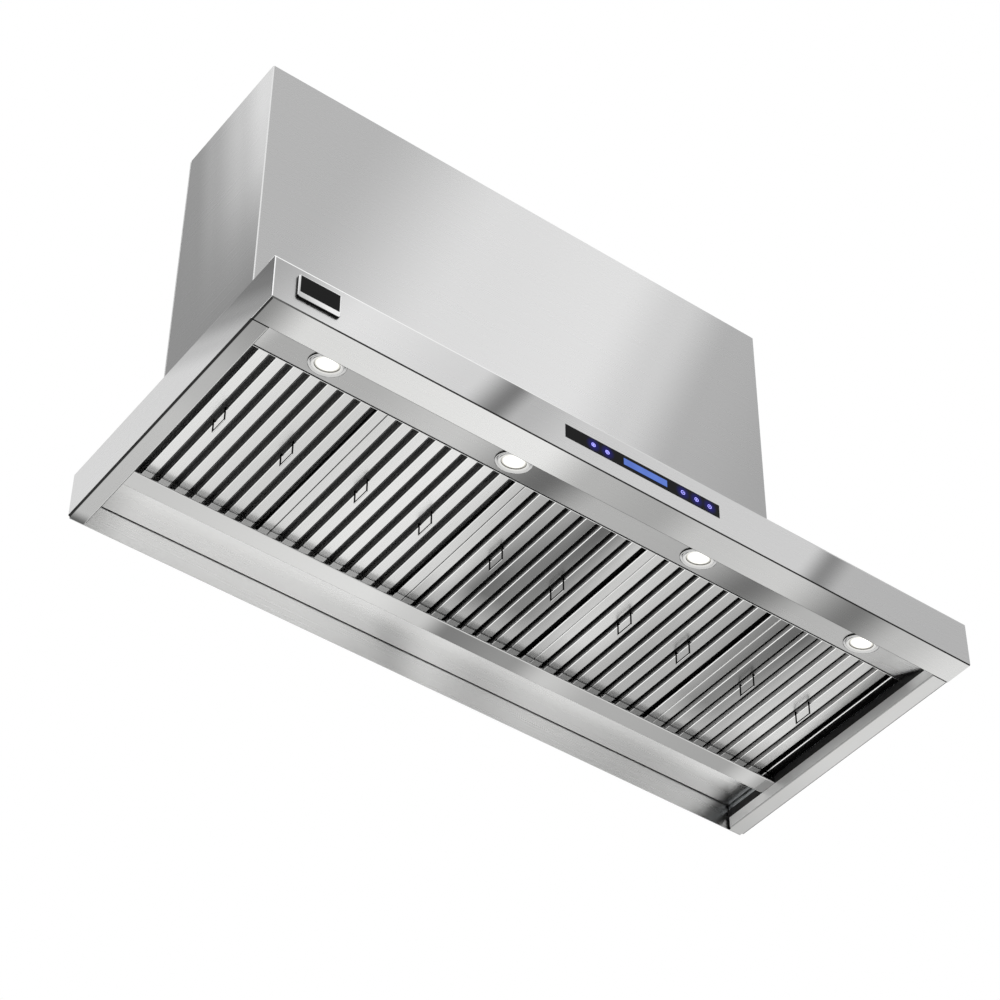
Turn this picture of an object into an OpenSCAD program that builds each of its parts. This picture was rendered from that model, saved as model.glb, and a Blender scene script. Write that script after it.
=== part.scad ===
// Wall-mount grill hood: a wide folded canopy with five baffle filters, a row of lamps
// and a touch panel, under a tall box that holds two blowers and their ducts.
// The origin is on the wall plane, on the centre line, level with the canopy's top.
// +X is to the right as seen from the front, the front faces -Y, and +Z is up.

/* [Canopy] */
// Width of the canopy
canopy_w = 1500; // [1300:10:1800]
// Depth of the canopy, from the wall to the fascia
canopy_d = 638; // [600:1:720]
// Height of the canopy's rim
rim_h = 98; // [92:1:130]
// Thickness of the stainless sheet
sheet = 1.2; // [0.8:0.1:1.5]
// Bend radius on the middle of the sheet
bend_r = 2.4; // [1.6:0.1:3]
// Depth of the bottom flange behind the fascia
front_flange = 61; // [50:1:75]
// Width of the bottom flanges at the sides
side_flange = 35; // [28:1:45]
// Height of the returns that stand on the flanges' inner edges
rim_return = 25; // [18:1:28]
// Width of the flanges round the canopy's top
top_flange = 20; // [12:1:30]
// Radius of the rear bottom corners
corner_r = 5; // [2:1:8]

/* [Upper box] */
// Width of the upper box
box_w = 1200; // [1150:10:1290]
// Depth of the upper box
box_d = 300; // [290:1:330]
// Height of the upper box above the canopy
box_h = 948; // [800:1:1200]
// Depth of the top plate's down-turned flanges
tray_flange = 20; // [10:1:30]
// Width of the box's returns along the wall
wrap_return = 15; // [10:1:25]

/* [Light panel and lamps] */
// Depth of the light panel, from the front flange to the filters
light_d = 81; // [78:1:95]
// Rise of the light panel over that depth
light_rise = 18; // [12:1:22]
// Height of the upstand along the light panel's rear edge
light_upstand = 20; // [10:1:22]
// Distance between the two inner lamps
lamp_inner = 402; // [300:1:460]
// Distance between the two outer lamps
lamp_outer = 1160; // [1000:1:1240]
// Radius of a lamp's bezel
lamp_r = 33.5; // [28:0.5:35]
// Place of the lamps across the light panel, as a share of its depth
lamp_place_share = 0.465; // [0.44:0.005:0.5]
// Depth of a lamp's can above its bezel
can_depth = 26; // [18:1:30]

/* [Filters] */
// Number of filters
filter_count = 5; // [5:1:5]
// Thickness of a filter
filter_t = 24; // [22:1:26]
// Sheet of the frames and baffles
baffle_sheet = 1; // [0.8:0.1:1.2]
// Slots in a filter
slot_count = 8; // [8:1:8]
// Width of a slot
slot_w = 11.2; // [9:0.1:13]
// Width of the strip along each side of a filter
edge_strip = 19.3; // [17:0.1:21]
// Gap between neighbouring filters
filter_gap = 1; // [0.6:0.1:2]
// Height of the lower baffles' flanges
lower_flange = 10; // [9:0.5:11]
// Depth that the filter lies on the rail behind its nose
rail_overlap = 18.5; // [14:0.5:21]
// Diameter of the handle wire
wire_d = 3; // [2.4:0.1:3.4]
// Width of a handle
handle_w = 40; // [30:1:60]
// Drop of a handle below the filter
handle_drop = 24; // [18:1:30]
// Distance from a filter's front edge to the middle of its handles
handle_from_front = 170; // [120:1:200]

/* [Rear rail and pan] */
// Distance from the wall to the rail's front face
rail_front = 141.5; // [138:0.5:160]
// Depth of the rail
rail_d = 39; // [36:1:45]
// Height of the rear pan's underside above the rim
pan_h = 56; // [50:1:60]

/* [Control panel and badge] */
// Width of the control glass
glass_w = 334; // [300:1:380]
// Height of the control glass
glass_h = 30; // [26:1:34]
// Thickness of the control glass
glass_t = 3; // [2.5:0.1:4]
// Height of the control panel's middle above the rim
glass_mid_h = 50; // [46:1:54]
// Width of the display
display_w = 94; // [80:1:110]
// Height of the display
display_h = 15; // [12:1:18]
// Outer radius of a touch ring
ring_r = 4.6; // [3.5:0.1:5.5]
// Width of the badge
badge_w = 82; // [60:1:90]
// Height of the badge
badge_h = 52; // [40:1:56]
// Distance from the canopy's left end to the badge's middle
badge_from_end = 85; // [60:1:120]

/* [Blowers] */
// Distance between the two blowers
blower_pitch = 600; // [560:1:640]
// Radius of a blower wheel
wheel_r = 95; // [88:1:97]
// Width of a blower wheel
wheel_w = 190; // [160:1:200]
// Blades on a wheel
blade_count = 32; // [24:1:40]
// Height of the wheels' axis above the canopy
wheel_z = 152; // [150:1:190]
// Radius of a motor
motor_r = 48; // [40:1:54]
// Length of a motor
motor_l = 84; // [70:1:90]
// Radius of a motor's shaft
shaft_r = 6; // [5:0.5:8]

/* [Ducts] */
// Outer radius of a duct collar
collar_r = 100; // [90:0.5:104]
// Height of a duct collar above the box
collar_h = 60; // [50:1:80]
// Height of the damper's rod above the box
damper_z = 30; // [24:1:34]
// Radius of the damper's rod
rod_r = 2.5; // [2:0.1:3]

/* [Wall fixing] */
// Distance from the box's sides to the wall bolts
bolt_from_side = 100; // [70:5:200]
// Distance from the box's top to the upper row of wall bolts
bolt_from_top = 68; // [50:1:120]
// Height of the lower row above the canopy
bolt_low = 520; // [480:10:540]
// Radius of the wall bolt holes
bolt_hole_r = 5; // [4:0.1:6]

/* [Hidden] */
$fn = 48;

// Clearance between sheets that lie against each other, and between a piece and its seat
seat = 0.3;
// Overrun of every cut
over = 1;
// Segments of a bend
bend_steps = 5;
half = sheet / 2;
bend_end = bend_r + half;
bend_inner = bend_end - sheet - seat;

// Planes of the canopy, measured from the rim or from the wall
front_y = -canopy_d;
flange_y = front_y + front_flange;
light_y = flange_y + light_d;
light_h = rim_return + light_rise;
inner_x = canopy_w / 2 - side_flange;
top_under = rim_h - sheet - seat - sheet;
liner_set = 2.5;
liner_x = inner_x + liner_set;
liner_half = inner_x - seat;
light_run = light_d - sheet - seat;
light_angle = atan2(light_rise, light_run);

// Filters
filter_pitch = 2 * inner_x / filter_count;
filter_w = filter_pitch - filter_gap;
filter_z = light_h;
front_gap = 1.5;
filter_y = light_y + front_gap;
filter_l = -rail_front + rail_overlap - filter_y;
slot_pitch = (filter_w - 2 * edge_strip - slot_w) / (slot_count - 1);
strip_w = slot_pitch - slot_w;
upper_lap = 6.4;
upper_w = slot_w + 2 * upper_lap;
upper_flange = 15;
baffle_bend = 1.2;
nest_drop = baffle_sheet + seat;
frame_lip = 12;
handle_strips = [2, 6];

// Rail
rail_top = filter_z - seat;
nose_r = bend_r + half;
ledge_d = 24;
rail_rear = -rail_front + rail_d;

// Upper box
box_y = -box_d / 2;
well_edge_x = 30;
well_edge_y = 20;
well_w = box_w - 2 * well_edge_x;
well_d = box_d - 2 * well_edge_y;
base_z = -sheet - seat;
channel_h = 30;
channel_d = 20;
channel_t = 2;
channel_end = 35;
channel_l = box_w - 2 * channel_end;
bolt_rows = [bolt_low, box_h - bolt_from_top];

// Ducts
duct_sheet = 1;
skirt_step = 2;
skirt_r = collar_r - skirt_step;
riser_r = skirt_r - duct_sheet - seat;
collar_flange = 18;
collar_skirt = 20;
ledge_w = 5;
ledge_t = 2;
flap_t = 1;
flap_play = 1.5;
flap_r = collar_r - duct_sheet - flap_play;
flap_set = 2;
flap_edge = rod_r + flap_set;
knuckle_wall = 1.1;
knuckle_r = rod_r + knuckle_wall;
knuckle_play = 0.06;
knuckle_l = 18;
screw_r = 2;
collar_screw_count = 6;

// Blowers
scroll_start_angle = 60;
scroll_gap = 9;
scroll_set = 12;
scroll_min = wheel_r + scroll_gap;
scroll_max = box_d / 2 - scroll_set;
scroll_step_angle = 10;
house_sheet = 1;
house_gap = 7;
house_half = wheel_w / 2 + house_gap;
outlet_h = 112;
inlet_share = 0.8;
inlet_r = wheel_r * inlet_share;
tongue_y = scroll_min * cos(scroll_start_angle);
tongue_z = scroll_min * sin(scroll_start_angle);
wheel_hoop = 20;
hoop_t = 3;
disc_t = 2;
hub_r = 16;
hub_l = 30;
blade_t = 1;
blade_curve = 15;
blade_inset = 1.3;
blade_tail_share = 0.2;
motor_gap = 18;
shaft_play = 0.05;
arm_count = 3;
arm_w = 20;
arm_t = 3;
boss_l = 6;
shaft_end_play = 2;
foot_w = 100;
foot_rise = 20;
foot_t = 2;
foot_weld = 0.3;
scroll_low = scroll_min
    + (scroll_max - scroll_min) * (270 - scroll_start_angle) / (360 - scroll_start_angle);
foot_drop = foot_t + scroll_low - foot_weld;
rail_web = 70;
blower_rail_w = 30;
blower_rail_t = 2;
riser_start = wheel_z + outlet_h;
riser_rise = 190;

// Control panel
glass_z = glass_mid_h;
glass_proud = 0.4;
house_rim = 8;
house_d = 26;
house_wall = 2;
pocket_d = glass_t - glass_proud - sheet;
board_t = 1.6;
inlay_t = 0.3;
ring_w = 0.9;
ring_place_shares = [-0.323, -0.234, 0.257, 0.347, 0.434];
display_place_share = 0.012;
display_x = glass_w * display_place_share;

// Badge
badge_rim = 3;
badge_base = 2.4;
badge_r = 5;
badge_x = -canopy_w / 2 + badge_from_end;
badge_z = 52.5;

// Lamps
bezel_t = 2.4;
bezel_step = 5;
lens_r = 22.5;
lens_t = 2;
lens_rise = 1.4;
bezel_groove = 1;
bezel_edge = 2;
bezel_edge_share = 0.8;
lamp_lap = 5;
can_play = 0.5;
lamp_hole_r = lamp_r - lamp_lap;
can_r = lamp_hole_r - can_play;
can_wall = 1.2;

// Boxes for the wiring
driver_w = 130;
driver_d = 46;
driver_h = 24;
driver_x = -380;
jbox_w = 140;
jbox_h = 100;
jbox_d = 44;
jbox_z = 330;
jbox_wall = 2;
lid_t = 1.6;
grommet_hole_r = 12;
grommet_bore_r = 8;
grommet_lip = 3;
grommet_lip_t = 2;
grommet_y = -60;

// Outline of a sheet folded along the polyline p, with its thickness t and its bend radius r.
// side is 1 on the left of the path and -1 on the right.
function unit(v) = v / norm(v);
function left_of(v) = [-v[1], v[0]];
function spun(v, a) = [v[0] * cos(a) - v[1] * sin(a), v[0] * sin(a) + v[1] * cos(a)];
function turn(u, v) = atan2(u[0] * v[1] - u[1] * v[0], u[0] * v[0] + u[1] * v[1]);
function bend(p, i, t, r, side) =
    let (
        u = unit(p[i] - p[i - 1]),
        v = unit(p[i + 1] - p[i]),
        a = turn(u, v),
        s = sign(a),
        c = p[i] - u * r * tan(abs(a) / 2) + s * r * left_of(u),
        rs = r - s * side * t / 2
    )
    [for (k = [0:bend_steps]) c - s * rs * spun(left_of(u), a * k / bend_steps)];
function sheet_side(p, t, r, side) =
    let (
        n = len(p) - 1,
        first = p[0] + side * t / 2 * left_of(unit(p[1] - p[0])),
        last = p[n] + side * t / 2 * left_of(unit(p[n] - p[n - 1]))
    )
    concat([first], [for (i = [1:1:n - 1]) each bend(p, i, t, r, side)], [last]);
function reversed(v) = [for (i = [len(v) - 1:-1:0]) v[i]];
function folded(p, t, r) = concat(sheet_side(p, t, r, 1), reversed(sheet_side(p, t, r, -1)));

// Extrusions of a profile: along X it is drawn in Y and Z, along Y in X and Z
module along_x(x, l) translate([x, 0, 0]) rotate([90, 0, 90]) linear_extrude(height = l) children();
module along_y(y, l) translate([0, y + l, 0]) rotate([90, 0, 0]) linear_extrude(height = l) children();
module from_rim() translate([0, 0, -rim_h]) children();
module both_sides() {
    children();
    mirror([1, 0, 0]) children();
}
module fold_x(p, l, t = sheet, r = bend_r) along_x(-l / 2, l) polygon(folded(p, t, r));
module fold_y(p, y, l, t = sheet, r = bend_r) along_y(y, l) polygon(folded(p, t, r));
module rounded_square(w, h, r) hull()
    for (x = [-1, 1], y = [-1, 1])
        translate([x * (w / 2 - r), y * (h / 2 - r)]) circle(r = r, $fn = 24);

// Canopy shell

module front_panel() color("silver") from_rim() difference() {
    fold_x([
        [front_y + top_flange, rim_h - half],
        [front_y + half, rim_h - half],
        [front_y + half, half],
        [flange_y - half, half],
        [flange_y - half, rim_return]
    ], canopy_w);
    translate([-glass_w / 2 - seat, front_y - over, glass_z - glass_h / 2 - seat])
        cube([glass_w + 2 * seat, sheet + 2 * over, glass_h + 2 * seat]);
    both_sides() translate([canopy_w / 2 - sheet - seat, flange_y - bend_end - seat, sheet])
        cube([sheet + seat + over, bend_end + seat + over, rim_return]);
}

// The side is one sheet: its flanges start behind the front panel's, and it turns in at the
// wall with its flanges notched to let the corner bend
module side_panel() from_rim() {
    outer = canopy_w / 2 - half;
    rear = -sheet - seat;
    top_path = [canopy_w / 2 - top_flange, rim_h - half];
    fold_y([
        top_path,
        [outer, rim_h - half],
        [outer, half],
        [inner_x + half, half],
        [inner_x + half, rim_return]
    ], flange_y + seat, rear - corner_r - flange_y - seat);
    fold_y([top_path, [outer, rim_h - half], [outer, rim_h / 2]],
        front_y + top_flange + seat, front_flange - top_flange);
    along_x(canopy_w / 2 - sheet, sheet) {
        hull() for (z = [bend_end, rim_h - bend_end])
            translate([front_y + bend_end, z]) circle(r = bend_inner, $fn = 24);
        translate([front_y + bend_end, sheet + seat])
            square([top_flange + seat - bend_end, rim_h - 2 * sheet - 2 * seat]);
        translate([front_y + bend_end, sheet + seat])
            square([front_flange + seat - bend_end, rim_h - sheet - seat - bend_end]);
    }
    translate([inner_x + bend_end, rear - corner_r, 0])
        cube([side_flange - corner_r - bend_end, corner_r, sheet]);
    translate([canopy_w / 2 - top_flange, rear - corner_r, rim_h - sheet])
        cube([top_flange - corner_r, corner_r, sheet]);
    translate([0, 0, bend_end]) linear_extrude(height = rim_h - 2 * bend_end) polygon(folded([
        [outer, rear - corner_r],
        [outer, rear - half],
        [outer - side_flange / 2, rear - half]
    ], sheet, corner_r - half));
}

module left_side_panel() color("silver") mirror([1, 0, 0]) side_panel();
module right_side_panel() color("silver") side_panel();

module canopy_top() color("gainsboro") translate([0, 0, base_z - sheet]) difference() {
    translate([-canopy_w / 2 + bend_end, front_y + bend_end, 0])
        cube([canopy_w - 2 * bend_end, canopy_d - bend_end - 2 * sheet - 2 * seat, sheet]);
    translate([-well_w / 2, box_y - well_d / 2, -over])
        cube([well_w, well_d, sheet + 2 * over]);
}

// One sheet against the wall, wide below and as wide as the box above
module back_panel() color("gainsboro") difference() {
    rotate([90, 0, 0]) linear_extrude(height = sheet) union() {
        translate([-box_w / 2, -rim_h / 2]) square([box_w, box_h + rim_h / 2]);
        translate([-canopy_w / 2 + corner_r, -rim_h])
            square([canopy_w - 2 * corner_r, rim_h - sheet - seat]);
    }
    wall_bolts() cylinder(r = bolt_hole_r, h = sheet + 2 * over, center = true);
}

module wall_bolts()
    for (x = [-1, 1], z = bolt_rows)
        translate([x * (box_w / 2 - bolt_from_side), -sheet / 2, z]) rotate([90, 0, 0]) children();

module wall_channels() color("gainsboro") difference() {
    for (z = bolt_rows)
        translate([0, -sheet - seat, z]) fold_x([
            [-channel_d, channel_h / 2],
            [-channel_t / 2, channel_h / 2],
            [-channel_t / 2, -channel_h / 2],
            [-channel_d, -channel_h / 2]
        ], channel_l, channel_t, bend_r);
    wall_bolts() cylinder(r = bolt_hole_r, h = channel_d, center = true);
}

module side_liners() color("dimgray") both_sides() translate([liner_x, 0, -rim_h]) {
    translate([0, flange_y + seat, rim_return + seat])
        cube([sheet, -flange_y - 3 * sheet - 2 * seat, top_under - rim_return - 2 * seat]);
}

// The seal stands on the return, flush with its inner face
module side_seals() color("black") both_sides() translate([inner_x, 0, -rim_h])
    translate([0, flange_y + seat, rim_return + seat])
        cube([liner_set - seat, -flange_y - 3 * sheet - 2 * seat, light_rise - seat]);

// Light panel and lamps

module lamp_places()
    for (x = [-lamp_outer, -lamp_inner, lamp_inner, lamp_outer] / 2)
        translate([x, flange_y + half + seat + light_run * lamp_place_share,
                -rim_h + rim_return + half + light_rise * lamp_place_share])
            rotate([light_angle, 0, 0]) translate([0, 0, -half]) children();

module light_panel() color("silver") difference() {
    from_rim() fold_x([
        [flange_y + half + seat, rim_return / 2],
        [flange_y + half + seat, rim_return + half],
        [light_y - half, light_h + half],
        [light_y - half, light_h + light_upstand]
    ], 2 * liner_half);
    lamp_places() cylinder(r = lamp_hole_r, h = 4 * sheet + 2 * over, center = true);
}

// The bezel steps in twice towards the lens, and hangs under the sheet
module lamp_bezels() color("silver") lamp_places() translate([0, 0, -seat])
    rotate_extrude() polygon([
        [lens_r, 0],
        [lens_r, -bezel_t / 2],
        [lens_r + bezel_step / 2, -bezel_t / 2],
        [lens_r + bezel_step, -bezel_t * bezel_edge_share],
        [lens_r + bezel_step + bezel_groove, -bezel_t / 2],
        [lamp_r - bezel_edge, -bezel_t],
        [lamp_r - bezel_edge / 4, -bezel_t * bezel_edge_share],
        [lamp_r, 0]
    ]);

function dome(r, rise, n) = [for (k = [0:n]) [r * k / n, rise * k * k / n / n]];
module lamp_lenses() color("white") lamp_places() translate([0, 0, -bezel_t / 2])
    rotate_extrude() polygon(concat(
        dome(lens_r - seat, lens_rise, bend_steps),
        [[lens_r - seat, lens_t], [0, lens_t]]
    ));

module lamp_cans() color("gray") lamp_places() difference() {
    cylinder(r = can_r, h = can_depth);
    translate([0, 0, -over]) cylinder(r = can_r - can_wall, h = can_depth - can_wall + over);
}

module lamp_driver() color("white")
    translate([driver_x, front_y + front_flange, base_z - sheet - seat - driver_h])
        cube([driver_w, driver_d, driver_h]);

// Rear rail and pan

module rear_rail() color("silver") from_rim() {
    fold_x([
        [-rail_front + ledge_d, rail_top - half],
        [-rail_front + half, rail_top - half],
        [-rail_front + half, rim_return + half],
        [rail_rear - half, rim_return + half],
        [rail_rear - half, pan_h - sheet]
    ], 2 * liner_half);
    along_x(-liner_half, 2 * liner_half)
        translate([-rail_front + nose_r, rail_top - nose_r]) circle(r = nose_r);
}

module rear_pan() color("silver") from_rim() fold_x([
    [rail_rear + half + seat, rim_return + 2 * sheet],
    [rail_rear + half + seat, pan_h + half],
    [-half - 2 * sheet - 2 * seat, pan_h + half],
    [-half - 2 * sheet - 2 * seat, pan_h + rim_return]
], 2 * liner_half);

// Upper box

module box_wrap() color("silver") translate([0, 0, -sheet])
    linear_extrude(height = box_h + sheet) polygon(folded([
        [-box_w / 2 + wrap_return, -half - sheet - seat],
        [-box_w / 2 + half, -half - sheet - seat],
        [-box_w / 2 + half, -box_d + half],
        [box_w / 2 - half, -box_d + half],
        [box_w / 2 - half, -half - sheet - seat],
        [box_w / 2 - wrap_return, -half - sheet - seat]
    ], sheet, bend_r));

module duct_places() for (s = [-1, 1]) translate([s * blower_pitch / 2, box_y, 0]) children();
module left_duct() translate([-blower_pitch / 2, box_y, 0]) children();
module right_duct() translate([blower_pitch / 2, box_y, 0]) children();

module tray_area(wall) {
    inset = sheet + seat;
    tray_d = box_d - 3 * inset;
    translate([0, -2 * inset - tray_d / 2])
        rounded_square(box_w - 2 * inset - 2 * wall, tray_d - 2 * wall, bend_inner - wall);
}

module box_top() color("gainsboro") difference() {
    translate([0, 0, box_h - tray_flange]) linear_extrude(height = tray_flange) tray_area(0);
    translate([0, 0, box_h - tray_flange - over])
        linear_extrude(height = tray_flange - sheet + over) tray_area(sheet);
    duct_places() translate([0, 0, box_h - tray_flange])
        cylinder(r = skirt_r + seat, h = tray_flange + over, $fn = 96);
    translate([0, grommet_y, box_h - tray_flange])
        cylinder(r = grommet_hole_r, h = tray_flange + over);
    duct_places() collar_screw_places() cylinder(r = screw_r, h = 4 * sheet, center = true);
}

module cable_grommet() color("black") translate([0, grommet_y, box_h - sheet / 2])
    rotate_extrude() polygon([
        [grommet_bore_r, -sheet / 2 - grommet_lip_t],
        [grommet_hole_r + grommet_lip, -sheet / 2 - grommet_lip_t],
        [grommet_hole_r + grommet_lip, -sheet / 2 - seat / 3],
        [grommet_hole_r - seat, -sheet / 2 - seat / 3],
        [grommet_hole_r - seat, sheet / 2 + seat / 3],
        [grommet_hole_r + grommet_lip, sheet / 2 + seat / 3],
        [grommet_hole_r + grommet_lip, sheet / 2 + grommet_lip_t],
        [grommet_bore_r, sheet / 2 + grommet_lip_t]
    ]);

// Duct collars and dampers

// The skirt under the flange is narrower, so the riser and the duct outside slip on apart
module duct_collar() difference() {
    union() {
        translate([0, 0, box_h - collar_skirt]) cylinder(r = skirt_r, h = collar_skirt + over, $fn = 96);
        translate([0, 0, box_h]) cylinder(r = collar_r, h = collar_h, $fn = 96);
        translate([0, 0, box_h]) cylinder(r = collar_r + collar_flange, h = sheet, $fn = 96);
    }
    translate([0, 0, box_h - collar_skirt - over])
        cylinder(r = skirt_r - duct_sheet, h = collar_skirt + sheet + 2 * over, $fn = 96);
    translate([0, 0, box_h + sheet])
        cylinder(r = collar_r - duct_sheet, $fn = 96,
            h = damper_z - flap_t / 2 - seat - ledge_t - sheet);
    translate([0, 0, box_h - collar_skirt])
        cylinder(r = collar_r - duct_sheet - ledge_w, h = collar_h + collar_skirt, $fn = 96);
    translate([0, 0, box_h + damper_z - flap_t / 2 - seat])
        cylinder(r = collar_r - duct_sheet, h = collar_h, $fn = 96);
    translate([0, 0, box_h + damper_z]) rotate([90, 0, 0])
        cylinder(r = rod_r + seat / 3, h = 2 * collar_r + over, center = true);
    collar_screw_places() cylinder(r = screw_r, h = 4 * sheet, center = true);
}

module collar_screw_places()
    for (i = [0:collar_screw_count - 1])
        rotate((i + 0.5) * 360 / collar_screw_count)
            translate([collar_r + collar_flange / 2, 0, box_h]) children();

module left_duct_collar() color("silver") left_duct() duct_collar();
module right_duct_collar() color("silver") right_duct() duct_collar();

module damper_rods() color("gray") duct_places() translate([0, 0, box_h + damper_z])
    rotate([90, 0, 0]) cylinder(r = rod_r, h = 2 * collar_r - seat, center = true);

// A half-round flap on its side of the rod, with two knuckles that start at the distance from
module damper_flap(from) translate([0, 0, box_h + damper_z]) difference() {
    union() {
        intersection() {
            cylinder(r = flap_r, h = flap_t, center = true, $fn = 96);
            translate([flap_edge, -flap_r, -flap_t]) cube([flap_r, 2 * flap_r, 2 * flap_t]);
        }
        for (s = [-1, 1]) translate([0, s * (from + knuckle_l / 2), 0]) {
            rotate([90, 0, 0]) cylinder(r = knuckle_r, h = knuckle_l, center = true);
            translate([0, -knuckle_l / 2, -flap_t / 2]) cube([flap_edge + over, knuckle_l, flap_t]);
        }
    }
    rotate([90, 0, 0]) cylinder(r = rod_r + knuckle_play, h = 2 * flap_r, center = true);
}
near_knuckle = 14;
far_knuckle = near_knuckle + knuckle_l + over;

module left_damper_flap_outer() color("lightgray") left_duct()
    mirror([1, 0, 0]) damper_flap(near_knuckle);
module left_damper_flap_inner() color("lightgray") left_duct() damper_flap(far_knuckle);
module right_damper_flap_inner() color("lightgray") right_duct()
    mirror([1, 0, 0]) damper_flap(near_knuckle);
module right_damper_flap_outer() color("lightgray") right_duct() damper_flap(far_knuckle);

// The riser leads from the blower's oblong outlet to the round collar
module riser_duct() {
    outlet_w = scroll_max - tongue_y;
    module oblong(grow) translate([0, tongue_y + outlet_w / 2, riser_start + seat])
        linear_extrude(height = sheet)
            square([2 * house_half + 2 * grow, outlet_w + 2 * grow], center = true);
    module round_end(grow) translate([0, 0, riser_start + riser_rise])
        cylinder(r = riser_r - duct_sheet + grow, h = sheet, $fn = 48);
    difference() {
        hull() {
            oblong(0);
            round_end(duct_sheet);
        }
        hull() {
            translate([0, 0, -over]) oblong(-duct_sheet);
            translate([0, 0, over]) round_end(0);
        }
    }
    translate([0, 0, riser_start + riser_rise + sheet / 2]) difference() {
        straight = box_h - riser_start - riser_rise - sheet;
        cylinder(r = riser_r, h = straight, $fn = 96);
        translate([0, 0, -over]) cylinder(r = riser_r - duct_sheet, h = straight + 2 * over, $fn = 96);
    }
}
module left_riser_duct() color("silver") left_duct() riser_duct();
module right_riser_duct() color("silver") right_duct() riser_duct();

// Blowers: the scroll lies in Y and Z, and the wheel's axis runs along X

function scroll(r0, r1) = [
    for (a = [scroll_start_angle + scroll_step_angle:scroll_step_angle:360])
        (r0 + (r1 - r0) * (a - scroll_start_angle) / (360 - scroll_start_angle)) * [cos(a), sin(a)]
];

module scroll_area(inset) {
    end = inset > 0 ? outlet_h + over : outlet_h;
    polygon(concat(
        [[tongue_y + inset, tongue_z - 2 * inset]],
        scroll(scroll_min - inset, scroll_max - inset),
        [[scroll_max - inset, end], [tongue_y + inset, end]]
    ));
}

module at_blower(s) translate([s * blower_pitch / 2, box_y, wheel_z]) children();

// A cradle under each scroll stands on the rails
module blower_housing() {
    difference() {
        along_x(-house_half, 2 * house_half) scroll_area(0);
        along_x(-house_half + house_sheet, 2 * house_half - 2 * house_sheet) scroll_area(house_sheet);
        along_x(-house_half - over, 2 * house_half + 2 * over) circle(r = inlet_r, $fn = 96);
    }
    along_x(-house_half + foot_t, 2 * house_half - 2 * foot_t) difference() {
        translate([-foot_w / 2, -foot_drop]) square([foot_w, foot_rise]);
        translate([-foot_w / 2 + foot_t, -foot_drop + foot_t])
            square([foot_w - 2 * foot_t, foot_rise]);
        scroll_area(house_sheet / 2);
    }
}
module left_blower_housing() color("lightgray") at_blower(-1) blower_housing();
module right_blower_housing() color("lightgray") at_blower(1) blower_housing();

module blade() intersection() {
    difference() {
        circle(r = blade_curve);
        circle(r = blade_curve - blade_t);
    }
    translate([-blade_curve * blade_tail_share, 0]) square(blade_curve + blade_curve * blade_tail_share);
}

module blower_wheel() {
    along_x(-disc_t / 2, disc_t) circle(r = wheel_r, $fn = 96);
    along_x(-hub_l, hub_l) circle(r = hub_r);
    for (x = [-wheel_w / 2, wheel_w / 2 - hoop_t])
        along_x(x, hoop_t) difference() {
            circle(r = wheel_r, $fn = 96);
            circle(r = wheel_r - wheel_hoop, $fn = 96);
        }
    along_x(-wheel_w / 2 + hoop_t / 2, wheel_w - hoop_t)
        for (i = [0:blade_count - 1])
            rotate(i * 360 / blade_count)
                translate([wheel_r - blade_curve - blade_inset, -blade_curve / 2]) blade();
    along_x(0, motor_gap + motor_l / 2) circle(r = shaft_r);
}
module left_blower_wheel() color("gray") at_blower(-1) blower_wheel();
module right_blower_wheel() color("gray") at_blower(1) blower_wheel();

module blower_motor() difference() {
    union() {
        along_x(motor_gap, motor_l) circle(r = motor_r, $fn = 64);
        along_x(motor_gap - boss_l, boss_l + over) circle(r = hub_r);
        along_x(motor_gap + motor_l, boss_l) circle(r = hub_r * 1.5);
    }
    along_x(motor_gap - boss_l - over, boss_l + motor_l / 2 + over + shaft_end_play)
        circle(r = shaft_r + shaft_play);
}
module left_blower_motor() color("dimgray") at_blower(-1) blower_motor();
module right_blower_motor() color("dimgray") at_blower(1) blower_motor();

// Three arms and a ring hold each motor in the mouth of its housing
module motor_brackets() color("gray") for (s = [-1, 1]) at_blower(s)
    along_x(house_half + seat, arm_t) difference() {
        union() {
            circle(r = hub_r * 1.5 + arm_w / 2);
            for (i = [0:arm_count - 1]) rotate(i * 360 / arm_count + 90)
                translate([0, -arm_w / 2]) square([inlet_r + arm_w / 2, arm_w]);
        }
        circle(r = hub_r * 1.5 + seat / 3);
    }

module blower_rails() color("gray")
    for (s = [-1, 1], f = [-1, 1])
        translate([s * blower_pitch / 2 + f * rail_web - blower_rail_w / 2, 0, 0]) {
            top = wheel_z - foot_drop - seat;
            fold_y([
                [0, base_z + seat],
                [0, top - blower_rail_t / 2],
                [blower_rail_w, top - blower_rail_t / 2],
                [blower_rail_w, base_z + seat]
            ], -box_d + 2 * sheet, box_d - 5 * sheet, blower_rail_t, bend_r);
        }

// Control panel

module control_glass() color("black") translate([0, front_y - glass_proud, -rim_h + glass_z])
    translate([-glass_w / 2, 0, -glass_h / 2]) cube([glass_w, glass_t, glass_h]);

module control_housing() color("dimgray")
    translate([0, front_y + sheet + seat, -rim_h + glass_z]) difference() {
        outer_w = glass_w + 2 * house_rim;
        outer_h = glass_h + 2 * house_rim;
        translate([-outer_w / 2, 0, -outer_h / 2]) cube([outer_w, house_d, outer_h]);
        translate([-glass_w / 2 - seat, -over, -glass_h / 2 - seat])
            cube([glass_w + 2 * seat, pocket_d + over, glass_h + 2 * seat]);
        translate([-glass_w / 2 + house_rim, 0, -glass_h / 2 + house_wall])
            cube([glass_w - 2 * house_rim, house_d - house_wall, glass_h - 2 * house_wall]);
    }

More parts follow.
